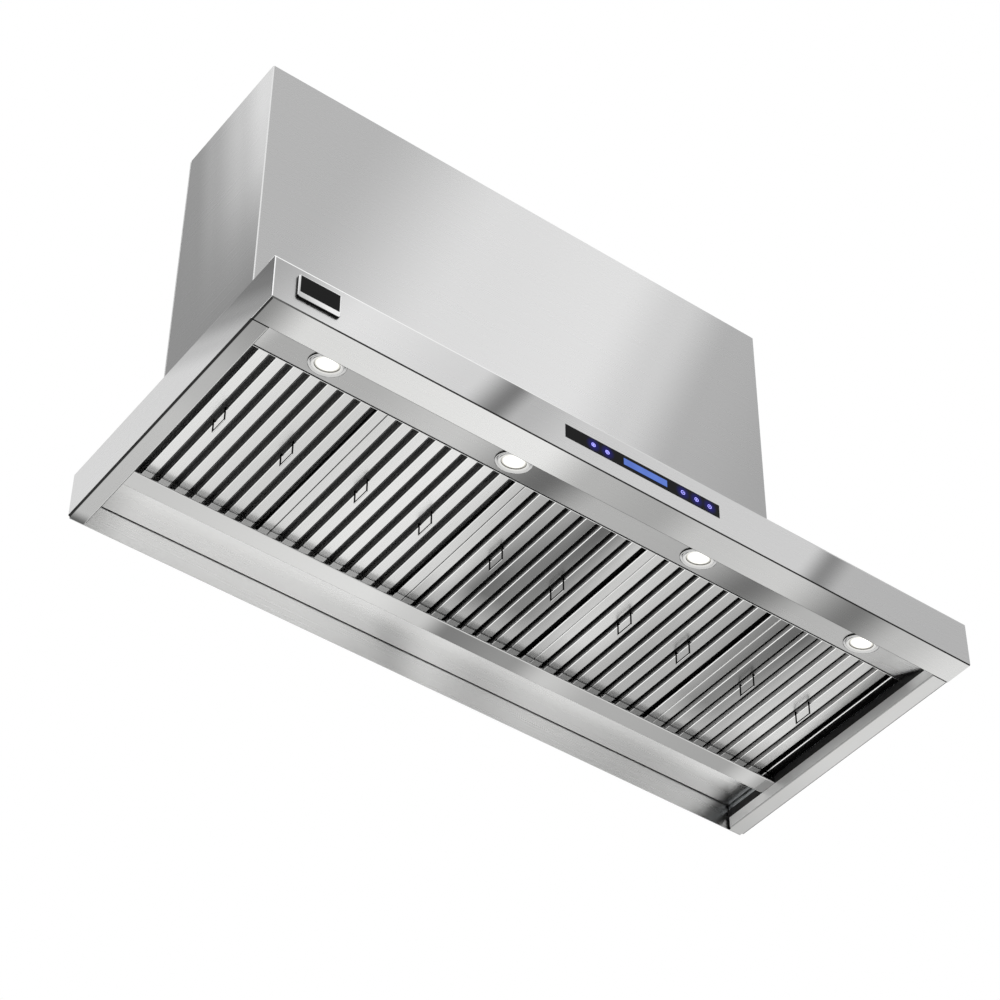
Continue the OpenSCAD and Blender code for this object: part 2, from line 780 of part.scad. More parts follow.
module control_board() color("darkgreen")
    translate([0, front_y + sheet + seat + house_d - house_wall - seat, -rim_h + glass_z]) {
        board_w = glass_w - 2 * house_rim - 2 * seat;
        board_h = glass_h - 2 * house_wall - 2 * seat;
        translate([-board_w / 2, -board_t, -board_h / 2]) cube([board_w, board_t, board_h]);
        for (place = concat([display_place_share], ring_place_shares))
            translate([glass_w * place, -board_t, 0]) rotate([90, 0, 0])
                cylinder(r = ring_r, h = house_d / 3);
    }

module on_glass() translate([0, front_y - glass_proud, -rim_h + glass_z])
    rotate([90, 0, 0]) children();

module display() color("royalblue") on_glass() translate([display_x, 0, 0])
    linear_extrude(height = inlay_t) square([display_w, display_h], center = true);

module touch_rings() color("blue") on_glass()
    for (place = ring_place_shares) translate([glass_w * place, 0, 0]) {
        linear_extrude(height = inlay_t) difference() {
            circle(r = ring_r);
            circle(r = ring_r - ring_w);
        }
        linear_extrude(height = inlay_t) circle(r = ring_r / 3);
    }

// Badge: a raised frame round a bare plate

module at_badge() translate([badge_x, front_y, -rim_h + badge_z]) rotate([90, 0, 0]) children();

module badge_frame() color("silver") at_badge() difference() {
    linear_extrude(height = badge_base) rounded_square(badge_w, badge_h, badge_r);
    translate([0, 0, badge_base / 2]) linear_extrude(height = badge_base)
        square([badge_w - 4 * badge_rim, badge_h - 4 * badge_rim], center = true);
}

module badge_plate() color("black") at_badge() translate([0, 0, badge_base / 2])
    linear_extrude(height = badge_base / 2 - seat)
        square([badge_w - 4 * badge_rim - seat, badge_h - 4 * badge_rim - seat], center = true);

// Junction box on the back panel, between the blowers

module junction_box() color("gainsboro")
    translate([0, -sheet - seat - jbox_d / 2, jbox_z]) difference() {
        cube([jbox_w, jbox_d, jbox_h], center = true);
        translate([0, -jbox_wall, 0])
            cube([jbox_w - 2 * jbox_wall, jbox_d, jbox_h - 2 * jbox_wall], center = true);
        translate([0, 0, jbox_h / 2])
            cylinder(r = grommet_bore_r, h = 4 * jbox_wall, center = true);
    }

module junction_lid() color("gainsboro")
    translate([-jbox_w / 2, -sheet - 2 * seat - jbox_d - lid_t, jbox_z - jbox_h / 2])
        cube([jbox_w, lid_t, jbox_h]);

// Filters

// Left edge of filter i, counted from 1
function filter_x(i) = -inner_x + filter_gap / 2 + (i - 1) * filter_pitch;
module at_filter(i) translate([filter_x(i), filter_y, -rim_h + filter_z]) children();

module filter_frame(i) color("silver") at_filter(i) {
    b = baffle_sheet / 2;
    for (y = [0, 1]) translate([0, y * filter_l, 0]) mirror([0, y, 0])
        along_x(0, filter_w) polygon(folded([
            [frame_lip, filter_t - b],
            [b, filter_t - b],
            [b, 0]
        ], baffle_sheet, baffle_bend));
    for (x = [0, 1]) translate([x * filter_w, 0, 0]) mirror([x, 0, 0])
        fold_y([
            [frame_lip, filter_t - nest_drop - b],
            [b, filter_t - nest_drop - b],
            [b, b],
            [edge_strip - b, b],
            [edge_strip - b, lower_flange]
        ], baffle_sheet, filter_l - 2 * baffle_sheet, baffle_sheet, baffle_bend);
}

// The lower baffles hang their flats level with the frame, and the upper ones cover the slots
module filter_baffles(i) color("silver") at_filter(i) {
    b = baffle_sheet / 2;
    y = baffle_sheet;
    l = filter_l - 2 * baffle_sheet;
    for (k = [1:slot_count - 1])
        translate([edge_strip + slot_w / 2 + (k - 0.5) * slot_pitch, 0, 0])
            fold_y([
                [-strip_w / 2 + b, lower_flange],
                [-strip_w / 2 + b, b],
                [strip_w / 2 - b, b],
                [strip_w / 2 - b, lower_flange]
            ], y, l, baffle_sheet, baffle_bend);
    for (k = [0:slot_count - 1])
        translate([edge_strip + slot_w / 2 + k * slot_pitch, 0, filter_t - nest_drop])
            fold_y([
                [-upper_w / 2 + b, -upper_flange],
                [-upper_w / 2 + b, -b],
                [upper_w / 2 - b, -b],
                [upper_w / 2 - b, -upper_flange]
            ], y, l, baffle_sheet, baffle_bend);
}

// A bent wire whose legs run up beside a baffle's left flange
module wire_handle() {
    r = wire_d / 2;
    leg = handle_drop + lower_flange / 2;
    for (y = [-1, 1]) translate([0, y * (handle_w / 2 - r), lower_flange / 2 - leg + r])
        cylinder(r = r, h = leg - r, $fn = 24);
    translate([0, 0, lower_flange / 2 - leg + r]) {
        rotate([90, 0, 0]) cylinder(r = r, h = handle_w - wire_d, center = true, $fn = 24);
        for (y = [-1, 1]) translate([0, y * (handle_w / 2 - r), 0]) sphere(r = r, $fn = 24);
    }
}

module filter_handles(i) color("gray") at_filter(i)
    for (k = handle_strips)
        translate([edge_strip + slot_w + (k - 1) * slot_pitch - wire_d / 2 - seat / 2,
                handle_from_front, 0]) wire_handle();

front_panel();
left_side_panel();
right_side_panel();
canopy_top();
back_panel();
light_panel();
rear_rail();
rear_pan();
side_liners();
side_seals();
box_wrap();
box_top();
wall_channels();
left_duct_collar();
right_duct_collar();
damper_rods();
left_damper_flap_inner();
left_damper_flap_outer();
right_damper_flap_inner();
right_damper_flap_outer();
left_riser_duct();
right_riser_duct();
left_blower_housing();
right_blower_housing();
left_blower_wheel();
right_blower_wheel();
left_blower_motor();
right_blower_motor();
motor_brackets();
blower_rails();
control_glass();
control_housing();
control_board();
display();
touch_rings();
lamp_bezels();
lamp_lenses();
lamp_cans();
lamp_driver();
junction_box();
junction_lid();
cable_grommet();
badge_plate();
badge_frame();
for (i = [1:filter_count]) {
    filter_frame(i);
    filter_baffles(i);
    filter_handles(i);
}
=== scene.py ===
# %% [markdown]
# # A wall-mount grill hood
# The hood is folded from satin stainless sheet: a shallow canopy with baffle filters and lamps
# under a tall box. The solids come from a measured model, in metres. This lesson gives them
# their finishes, adds the lit parts and the screws, and sets up a plain studio.

# %% Load the measured model
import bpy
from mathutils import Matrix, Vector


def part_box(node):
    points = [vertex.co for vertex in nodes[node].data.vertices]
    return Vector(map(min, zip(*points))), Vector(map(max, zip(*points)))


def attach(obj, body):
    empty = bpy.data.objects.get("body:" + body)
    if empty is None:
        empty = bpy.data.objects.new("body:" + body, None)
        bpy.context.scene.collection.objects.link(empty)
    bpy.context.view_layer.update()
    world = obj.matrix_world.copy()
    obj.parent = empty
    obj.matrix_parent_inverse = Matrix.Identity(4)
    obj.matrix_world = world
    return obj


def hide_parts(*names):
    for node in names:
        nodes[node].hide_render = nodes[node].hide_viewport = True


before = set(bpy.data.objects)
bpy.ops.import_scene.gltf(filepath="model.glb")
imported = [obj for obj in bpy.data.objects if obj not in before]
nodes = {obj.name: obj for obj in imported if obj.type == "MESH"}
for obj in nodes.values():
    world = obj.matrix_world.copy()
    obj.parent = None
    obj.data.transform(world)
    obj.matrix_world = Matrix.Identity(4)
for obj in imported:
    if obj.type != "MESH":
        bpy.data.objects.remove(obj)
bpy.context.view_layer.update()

import math
import bmesh
import bpy
from mathutils import Matrix, Vector

# %% [markdown]
# ## Helpers for every finish
# A colour is easiest to judge as an sRGB hex value, but shaders work in linear light, so one
# function converts it. A node tree is easiest to read when each node is one line, so a second
# function makes a node, sets its options and joins or fills its inputs.

# %% Colour and node helpers
def linear(hex_value):
    parts = [int(hex_value[i:i + 2], 16) / 255 for i in (1, 3, 5)]
    return [c / 12.92 if c <= 0.04045 else ((c + 0.055) / 1.055) ** 2.4 for c in parts] + [1.0]


def add(tree, kind, inputs=None, **options):
    node = tree.nodes.new(kind)
    for key, value in options.items():
        setattr(node, key, value)
    for key, value in (inputs or {}).items():
        socket = node.inputs[key]
        if isinstance(value, bpy.types.NodeSocket):
            tree.links.new(value, socket)
        else:
            socket.default_value = value
    return node


def new_material(name):
    material = bpy.data.materials.new(name)
    material.use_nodes = True
    material.node_tree.nodes.clear()
    return material, material.node_tree


def surface(tree, inputs):
    shader = add(tree, "ShaderNodeBsdfPrincipled", inputs)
    add(tree, "ShaderNodeOutputMaterial", {"Surface": shader.outputs[0]})


print("white is", linear("#FFFFFF"))

# %% [markdown]
# A finish here is a stack of tones, each laid over the last as far as its share says. A share
# is 1 where a tone covers and 0 where it doesn't. Two shares can be joined in two ways: the
# product holds where both do, and the larger one holds where either does.

# %% Shares and layers
def layered(tree, colour, *layers):
    for share, tone in layers:
        laid = add(tree, "ShaderNodeMix", {0: share, 6: colour, 7: tone}, data_type="RGBA")
        colour = laid.outputs[2]
    return colour


def where_all(tree, share, *others):
    for other in others:
        share = add(tree, "ShaderNodeMath", {0: share, 1: other}, operation="MULTIPLY").outputs[0]
    return share


def where_any(tree, share, *others):
    for other in others:
        share = add(tree, "ShaderNodeMath", {0: share, 1: other}, operation="MAXIMUM").outputs[0]
    return share


print("helpers: layered, where_all, where_any")

# %% [markdown]
# ## The camera
# The picture looks up at the hood from below its left end, through a long lens. The place and
# the angles were found by fitting the hood's long straight edges, so they are set directly.

# %% Camera
CAMERA_PLACE = (-2.26755, -3.32526, -3.43674)
YAW, PITCH, ROLL = 36.189, 43.423, -0.484
LENS_MM = 103.36
FARTHEST = 100


def aim(yaw, pitch, roll):
    yaw, pitch, roll = (math.radians(angle) for angle in (yaw, pitch, roll))
    forward = Vector((math.sin(yaw) * math.cos(pitch), math.cos(yaw) * math.cos(pitch), math.sin(pitch)))
    level = Vector((math.cos(yaw), -math.sin(yaw), 0))
    down = forward.cross(level)
    right = math.cos(roll) * level + math.sin(roll) * down
    down = math.cos(roll) * down - math.sin(roll) * level
    return Matrix((right, -down, -forward)).transposed()


camera_data = bpy.data.cameras.new("long_lens")
camera_data.lens = LENS_MM
camera_data.clip_end = FARTHEST
camera = bpy.data.objects.new("camera", camera_data)
bpy.context.scene.collection.objects.link(camera)
camera.matrix_world = Matrix.Translation(CAMERA_PLACE) @ aim(YAW, PITCH, ROLL).to_4x4()
bpy.context.scene.camera = camera
bpy.context.scene.view_settings.view_transform = "Standard"
sight = camera.matrix_world.to_3x3() @ Vector((0, 0, -1))
print("camera looks along", [round(v, 3) for v in sight])

# %% [markdown]
# ## The sky
# Steel shows what stands round it, so the studio matters more than the lamps. A white sky that
# the camera and the steel both see keeps the sheet bright. A darker strip at the horizon is
# mirrored mostly in the tight bends, and draws the thin dark line that real folds show. Three
# plain backgrounds are mixed by the kind of ray, so each can be set without the others.

# %% World
SOFT_STRENGTH = 0.85
HORIZON = ((0.40, "#F2F2F2"), (0.46, "#3A3A3A"), (0.54, "#3A3A3A"), (0.64, "#FFFFFF"))

world = bpy.data.worlds.new("studio")
bpy.context.scene.world = world
world.use_nodes = True
sky = world.node_tree
sky.nodes.clear()
direction = add(sky, "ShaderNodeTexCoord").outputs["Generated"]
height = add(sky, "ShaderNodeSeparateXYZ", {0: direction}).outputs["Z"]
level = add(sky, "ShaderNodeMapRange", {"Value": height, "From Min": -1.0, "From Max": 1.0}).outputs[0]
strip = add(sky, "ShaderNodeValToRGB", {"Fac": level})
strip.color_ramp.interpolation = "EASE"
for place, shade in HORIZON:
    strip.color_ramp.elements.new(place).color = linear(shade)
strip.color_ramp.elements.remove(strip.color_ramp.elements[0])
strip.color_ramp.elements[-1].color = linear("#FFFFFF")

rays = add(sky, "ShaderNodeLightPath").outputs
seen = where_any(sky, rays["Is Camera Ray"], rays["Is Transmission Ray"])
white = add(sky, "ShaderNodeBackground", {"Color": linear("#FFFFFF"), "Strength": 1.0}).outputs[0]
banded = add(sky, "ShaderNodeBackground", {"Color": strip.outputs["Color"], "Strength": 1.0}).outputs[0]
soft = add(sky, "ShaderNodeBackground", {"Color": linear("#FFFFFF"), "Strength": SOFT_STRENGTH}).outputs[0]
lit = add(sky, "ShaderNodeMixShader", {0: rays["Is Glossy Ray"], 1: soft, 2: banded}).outputs[0]
whole = add(sky, "ShaderNodeMixShader", {0: seen, 1: lit, 2: white}).outputs[0]
add(sky, "ShaderNodeOutputWorld", {"Surface": whole})
print("sky with", len(sky.nodes), "nodes")

# %% [markdown]
# ## The floor
# The floor is matt pale board. It lies far below, because the hood is looked up at, and every
# downward face mirrors it. A little light of its own brings it to white where it is seen or
# mirrored, and leaves the light that falls on the hood alone.

# %% Floor
FLOOR_LIFT = 0.30
FLOOR_RADIUS = 30
FLOOR_HEIGHT = -8

floor_material, tree = new_material("pale_studio_floor")
rays = add(tree, "ShaderNodeLightPath").outputs
seen = where_any(tree, rays["Is Camera Ray"], rays["Is Glossy Ray"], rays["Is Transmission Ray"])
surface(tree, {"Base Color": linear("#EDEDEB"), "Roughness": 0.9, "Emission Color": linear("#FFFFFF"),
               "Emission Strength": where_all(tree, seen, FLOOR_LIFT)})
bpy.ops.mesh.primitive_circle_add(vertices=96, radius=FLOOR_RADIUS, fill_type="NGON",
                                  location=(0, 0, FLOOR_HEIGHT))
floor = bpy.context.object
floor.name = "studio_floor"
floor.data.materials.append(floor_material)
print("floor at height", FLOOR_HEIGHT, "m, in the model's own frame")

# %% [markdown]
# ## Two soft lamps
# Wide round lamps give soft shade. They light the matt parts alone: mirrored in a satin sheet,
# a lamp would burn a white patch into it.

# %% Lamps of the studio
def soft_lamp(name, place, target, size, watts):
    data = bpy.data.lights.new(name, "AREA")
    data.shape = "DISK"
    data.size = size
    data.energy = watts
    lamp = bpy.data.objects.new(name, data)
    bpy.context.scene.collection.objects.link(lamp)
    lamp.location = place
    lamp.rotation_euler = (Vector(target) - Vector(place)).to_track_quat("-Z", "Y").to_euler()
    lamp.visible_glossy = False


soft_lamp("key_lamp", (-2.5, -4.5, 2.8), (0, -0.3, 0.2), 2.4, 90)
soft_lamp("fill_lamp", (3.5, -3.5, -1.0), (0, -0.3, 0), 2.0, 30)
print("studio with", len(bpy.data.lights), "soft lamps")

# %% [markdown]
# ## Satin stainless steel
# The sheet is 304 stainless, rolled and then brushed with a fine belt, which leaves scratches
# about 0.1 mm apart in one direction. They spread a reflection sideways, so the sheet shows
# soft bands and no clear picture. The bands that a long sheet picks up from the room are
# painted in here as painted reflections: each face gets a few tones along its length, chosen by
# the way the face looks. A tone is a grey, written as two hex digits, at a place along the sheet.

# %% Tone bands
def tone_bands(tree, position, along, stops, smooth="EASE"):
    """Greys by how far the position reaches along a direction; with no direction, it is that reach."""
    reach = position
    if along:
        reach = add(tree, "ShaderNodeVectorMath", {0: position, 1: along},
                    operation="DOT_PRODUCT").outputs["Value"]
    share = add(tree, "ShaderNodeMapRange", {
        "Value": reach, "From Min": stops[0][0], "From Max": stops[-1][0]}).outputs["Result"]
    ramp = add(tree, "ShaderNodeValToRGB", {"Fac": share})
    bands = ramp.color_ramp
    bands.interpolation = smooth
    span = stops[-1][0] - stops[0][0]
    for place, grey in stops[1:-1]:
        bands.elements.new((place - stops[0][0]) / span).color = linear("#" + grey * 3)
    bands.elements[0].color = linear("#" + stops[0][1] * 3)
    bands.elements[-1].color = linear("#" + stops[-1][1] * 3)
    return ramp.outputs["Color"]


def facing(tree, normal, way, low=0.90, high=0.985):
    """1 where a face looks the given way, falling to 0 as it turns away."""
    match = add(tree, "ShaderNodeVectorMath", {0: normal, 1: Vector(way).normalized()},
                operation="DOT_PRODUCT").outputs["Value"]
    return add(tree, "ShaderNodeMapRange", {
        "Value": match, "From Min": low, "From Max": high}).outputs["Result"]


print("helpers: tone_bands, facing")

# %% [markdown]
# One function makes every sheet of brushed steel. At this distance one scratch can't be seen,
# so the grain is drawn 2 mm wide, 350 mm long and faint. It moves the tone by less than one
# part in a hundred, the roughness by a tenth, and adds a very small bump.

# %% Brushed steel
LEFT, RIGHT, FRONT, REAR, UP, DOWN = (-1, 0, 0), (1, 0, 0), (0, -1, 0), (0, 1, 0), (0, 0, 1), (0, 0, -1)
GRAIN_WIDTH = 0.002
GRAIN_LENGTH = 0.35
GRAIN_DEPTH = 0.0002
GRAIN_BUMP = 0.008


def long_grain(tree, position, grain):
    """Noise stretched along the axes where the grain runs."""
    scale = [1 / GRAIN_LENGTH if axis else 1 / GRAIN_WIDTH for axis in grain]
    stretched = add(tree, "ShaderNodeVectorMath", {0: position, 1: scale}, operation="MULTIPLY").outputs[0]
    return add(tree, "ShaderNodeTexNoise", {"Vector": stretched, "Scale": 1.0, "Detail": 3.0}).outputs["Fac"]


def brushed_steel(name, plain, faces, grain=RIGHT, roughness=0.28, streaks=0.008, metallic=1.0):
    """faces: (way the face looks, direction of its bands, (place, grey) stops), the last on top.
    What may follow, a direction and its (place, share) stops, keeps the bands to a part of the face."""
    material, tree = new_material(name)
    where = add(tree, "ShaderNodeTexCoord").outputs
    colour = linear(plain)
    # The bands laid on here are painted reflections and painted highlights, part of the colour.
    for way, along, stops, *parts in faces:
        limits = [tone_bands(tree, where["Object"], direction, shares, "LINEAR")
                  for direction, shares in parts]
        share = where_all(tree, facing(tree, where["Normal"], way), *limits)
        colour = layered(tree, colour, (share, tone_bands(tree, where["Object"], along, stops)))
    scratches = long_grain(tree, where["Object"], grain)
    shade = add(tree, "ShaderNodeMapRange", {
        "Value": scratches, "To Min": 1 - streaks, "To Max": 1 + streaks}).outputs[0]
    streak = add(tree, "ShaderNodeCombineColor", {0: shade, 1: shade, 2: shade}).outputs[0]
    colour = add(tree, "ShaderNodeMix", {0: 1.0, 6: colour, 7: streak}, data_type="RGBA",
                 blend_type="MULTIPLY").outputs[2]
    rough = add(tree, "ShaderNodeMapRange", {
        "Value": scratches, "To Min": roughness * 0.9, "To Max": roughness * 1.1}).outputs[0]
    bump = add(tree, "ShaderNodeBump", {
        "Height": scratches, "Strength": GRAIN_BUMP, "Distance": GRAIN_DEPTH}).outputs[0]
    surface(tree, {"Base Color": colour, "Metallic": metallic, "Roughness": rough, "Normal": bump})
    return material


def finish(material, *names):
    for name in names:
        for slot in nodes[name].material_slots:
            slot.material = material
    print(material.name, "on", ", ".join(names))


# %% [markdown]
# ## The canopy's front
# The front panel shows two long faces: the fascia, and the flange below it. The fascia has two
# dark bands and the flange three, painted reflections of the dark parts of the room in the
# brushed sheet. A fold turns through every direction in a few millimetres, so it gathers the
# whole room in a thin line; these lines are painted too, as painted highlights along the top and
# the inner edges and a painted dark line along the rim. A limit keeps a tone to a strip at one
# edge, such as the rim's left end or the flange's rear edge.

# %% Front panel
FLANGE_PAINTED_REFLECTIONS = [(-0.75, "8A"), (-0.66, "D6"), (-0.20, "E2"), (-0.09, "B0"), (0.05, "A4"), (0.15, "C0"),
                (0.33, "C8"), (0.49, "74"), (0.60, "B8"), (0.74, "D6")]
FASCIA_PAINTED_REFLECTIONS = [(-0.74, "AA"), (-0.56, "E0"), (-0.33, "D2"), (-0.26, "76"), (-0.22, "B4"), (-0.10, "CA"),
                (0.39, "CC"), (0.44, "84"), (0.49, "B2"), (0.80, "B0")]
TOP_EDGE_PAINTED_HIGHLIGHT = [(-0.75, "FF"), (-0.3, "F4"), (0.0, "D8"), (0.2, "CC"), (0.75, "B6")]
RIM_LEFT_END = (RIGHT, [(-0.7462, "FF"), (-0.7452, "00")])
FASCIA_TOP = (UP, [(-0.0046, "00"), (-0.0040, "FF")])
FASCIA_LEFT = (RIGHT, [(-0.7488, "FF"), (-0.7480, "00")])
FLANGE_REAR = (REAR, [(-0.5788, "00"), (-0.5782, "FF")])

# Every tone below is painted in: painted reflection bands on the faces, and painted highlights and painted
# dark lines on the folds and edges.
finish(brushed_steel("brushed_stainless_front_panel", "#2C2C2C", [
    ((0, -1, 1), RIGHT, [(-0.75, "FF"), (-0.2, "F0"), (0.2, "CC"), (0.75, "B8")]),
    ((0, -1, -1), RIGHT, [(-0.75, "70"), (-0.60, "38"), (0.75, "28")]),
    (LEFT, FRONT, [(0.57, "FF"), (0.64, "FF")]),
    (RIGHT, FRONT, [(0.57, "D8"), (0.64, "E0")]),
    (FRONT, (1, 0, -0.6), FASCIA_PAINTED_REFLECTIONS),
    (FRONT, RIGHT, TOP_EDGE_PAINTED_HIGHLIGHT, FASCIA_TOP),
    (FRONT, UP, [(-0.1, "FF"), (0.0, "FF")], FASCIA_LEFT),
    (DOWN, RIGHT, FLANGE_PAINTED_REFLECTIONS),
    (DOWN, RIGHT, [(-0.75, "FF"), (0.75, "D8")], FLANGE_REAR),
    (DOWN, REAR, [(-0.64, "30"), (-0.57, "30")], RIM_LEFT_END),
    (UP, RIGHT, [(-0.75, "B8"), (0.75, "C4")]),
    (REAR, RIGHT, [(-0.75, "90"), (0.75, "A0")]),
]), "front_panel")

# %% [markdown]
# ## The canopy's sides and light panel
# The two sides are folded alike, so they share the painted tones of their hidden faces. The left
# one is painted dark at its front end and light towards the wall, with a painted dark line at its
# front edge and a painted highlight along its inner edge. The right one shows its inner face, which
# looks duller, so its steel is rougher and less metallic; that face is painted lighter towards the
# wall. The light panel has two painted dark reflection bands and turns dark past a slanting line,
# a painted reflection of the dark right side.

# %% Sides and light panel
# Tones of the folds and hidden faces, painted reflections and painted highlights.
SIDE_FACES = [
    ((-1, 0, 1), REAR, [(-0.64, "E0"), (0.0, "F0")]),
    ((1, 0, 1), REAR, [(-0.64, "E0"), (0.0, "F0")]),
    (RIGHT, REAR, [(-0.64, "9A"), (-0.4, "C4"), (-0.15, "B2"), (0.0, "A4")]),
    (UP, REAR, [(-0.64, "B8"), (0.0, "C4")]),
    (REAR, UP, [(-0.1, "A0"), (0.0, "A8")]),
]
LEFT_SIDE_PAINTED_TONES = [(-0.60, "48"), (-0.54, "56"), (-0.45, "82"), (-0.36, "B2"), (-0.27, "CE"), (0.1, "D2")]
SIDE_FRONT = (REAR, [(-0.6352, "FF"), (-0.6342, "00")])
LEFT_INNER_EDGE = (RIGHT, [(-0.7180, "00"), (-0.7174, "FF")])
RIM_RIGHT_END = (RIGHT, [(0.7466, "00"), (0.7472, "FF")])
SLANTING_PAINTED_REFLECTION = ((1, 0.33, 0), [(0.530, "00"), (0.534, "FF")])

# Painted tones: dark at the front, a painted dark line at the front edge, a painted highlight along the
# inner edge, a painted dark rim end.
finish(brushed_steel("brushed_stainless_left_side", "#303030", SIDE_FACES + [
    (LEFT, (0, 1, -1.8), LEFT_SIDE_PAINTED_TONES),
    (LEFT, UP, [(-0.1, "20"), (0.0, "20")], SIDE_FRONT),
    (DOWN, REAR, [(-0.58, "98"), (-0.42, "B2"), (-0.30, "BC"), (-0.03, "B8"), (0.0, "58")]),
    (DOWN, RIGHT, [(-0.72, "E0"), (-0.715, "F4")], LEFT_INNER_EDGE),
    (DOWN, REAR, [(-0.64, "2C"), (0.0, "2C")], RIM_LEFT_END),
], grain=REAR), "left_side_panel")
# The inner face is painted lighter towards the wall, and the rim end is painted dark.
finish(brushed_steel("brushed_stainless_right_side", "#A8A8A8", SIDE_FACES + [
    (LEFT, REAR, [(-0.58, "D8"), (-0.30, "E4"), (0.0, "FF")]),
    (DOWN, REAR, [(-0.58, "D8"), (-0.30, "D8"), (-0.10, "CA"), (0.0, "C0")]),
    (DOWN, REAR, [(-0.64, "38"), (0.0, "38")], RIM_RIGHT_END),
], grain=REAR, roughness=0.45, metallic=0.6), "right_side_panel")
# Painted dark reflection bands, and past the slanting line a painted reflection of the dark right side.
finish(brushed_steel("brushed_stainless_light_panel", "#D8D8D8", [
    (DOWN, RIGHT, [(-0.72, "CA"), (-0.67, "A4"), (-0.52, "AA"), (-0.32, "C4"), (-0.13, "46"), (-0.02, "AC"),
                   (0.20, "A6"), (0.32, "52"), (0.45, "B0"), (0.64, "B4"), (0.71, "FF")]),
    (DOWN, RIGHT, [(0.6, "10"), (0.8, "10")], SLANTING_PAINTED_REFLECTION),
]), "light_panel")

# %% [markdown]
# ## Baffle filters
# Each filter is a folded frame with two layers of channels: smoke has to turn round their
# edges, and leaves its grease there. The strips of the lower layer are bright steel, with
# painted reflection bands. What shows between them is non-metallic, like a dull film of grease,
# so it scatters light, and its tones are painted shade. The strips repeat every 33.6 mm in
# filters that repeat every 286 mm, so one remainder gives the place across a strip, and with it
# the painted highlights and painted dark lines along the strips' bends.

# %% Places and tones of a filter
FILTER_LEFT, FILTER_PITCH, FILTER_EDGE = -0.7145, 0.286, 0.0193
STRIP_PITCH, SLOT = 0.0336, 0.0112
FILTER_UNDER = -0.055
FRONT_PAINTED_REFLECTIONS = [(-0.70, "DC"), (-0.47, "CA"), (-0.27, "E2"), (-0.06, "A0"), (0.03, "62"), (0.12, "C6"),
               (0.28, "B4"), (0.49, "62"), (0.57, "BA"), (0.66, "C4")]
MIDDLE_PAINTED_REFLECTIONS = [(-0.70, "DC"), (-0.50, "CA"), (-0.30, "E0"), (-0.12, "CE"), (-0.05, "6A"), (0.03, "7E"),
                (0.18, "D0"), (0.28, "A6"), (0.38, "AC"), (0.46, "80"), (0.62, "D2")]


def within(tree, value, low, high, soft=0.0003):
    """1 where the value lies between low and high, else 0, with a soft edge."""
    after = add(tree, "ShaderNodeMapRange", {
        "Value": value, "From Min": low, "From Max": low + soft}).outputs[0]
    before = add(tree, "ShaderNodeMapRange", {
        "Value": value, "From Min": high, "From Max": high - soft}).outputs[0]
    return where_all(tree, after, before)


def remainder(tree, value, start, pitch):
    from_start = add(tree, "ShaderNodeMath", {0: value, 1: start}, operation="SUBTRACT").outputs[0]
    return add(tree, "ShaderNodeMath", {0: from_start, 1: pitch}, operation="FLOORED_MODULO").outputs[0]


print("strips", STRIP_PITCH * 1000, "mm apart in filters", FILTER_PITCH * 1000, "mm apart")

# %% [markdown]
# The underside of the strips changes its painted reflection bands from the front to the middle.
# It is painted grey, as shade, in the right corner, and in the three right filters towards the
# rear. Each strip has a painted highlight, a bright line along its left bend. In the two left
# filters the right bend is painted dark, as the shade seen where the eye looks along it, and the
# edge that ends the last filter is painted dark as shade too.

# %% Undersides of the strips
PAINTED_HIGHLIGHT_WIDTH = 0.0017
PAINTED_SHADE_WIDTH = 0.0030
TOWARDS_MIDDLE = [(-0.47, "00"), (-0.27, "FF")]
TOWARDS_REAR = [(-0.23, "00"), (-0.16, "FF")]
TOWARDS_CORNER = [(0.714, "00"), (0.745, "FF")]
LAST_EDGE = [(0.6968, "00"), (0.6975, "FF")]


def strip_undersides(tree, position, across, early, later):
    towards_rear = tone_bands(tree, position, REAR, TOWARDS_REAR, "LINEAR")
    painted_shade_line = within(tree, across, STRIP_PITCH - PAINTED_SHADE_WIDTH, STRIP_PITCH)
    # Painted reflection bands, with painted grey shade, a painted highlight line and painted dark shade
    # lines laid over them.
    return layered(
        tree, tone_bands(tree, position, RIGHT, FRONT_PAINTED_REFLECTIONS),
        (tone_bands(tree, position, REAR, TOWARDS_MIDDLE, "LINEAR"),
         tone_bands(tree, position, RIGHT, MIDDLE_PAINTED_REFLECTIONS)),
        (where_all(tree, towards_rear, later), linear("#AEAEAE")),
        (tone_bands(tree, position, (1, -0.15, 0), TOWARDS_CORNER, "LINEAR"), linear("#989898")),
        (within(tree, across, SLOT, SLOT + PAINTED_HIGHLIGHT_WIDTH), linear("#FFFFFF")),
        (where_all(tree, painted_shade_line, early), linear("#1C1C1C")),
        (tone_bands(tree, position, RIGHT, LAST_EDGE, "LINEAR"), linear("#242424")))


print("thin lines of", PAINTED_HIGHLIGHT_WIDTH * 1000, "and", PAINTED_SHADE_WIDTH * 1000, "mm")

# %% [markdown]
# A slot's walls take a painted shade from their height over the filter's underside: painted
# light on their lowest part. Above it they stay middle grey in the two left filters, and are
# painted nearly black 10 mm up in the others. So there are three tables: one for the two left
# filters, one for the next two and one for the last. The slot at each filter's end is painted
# dark, as shade.

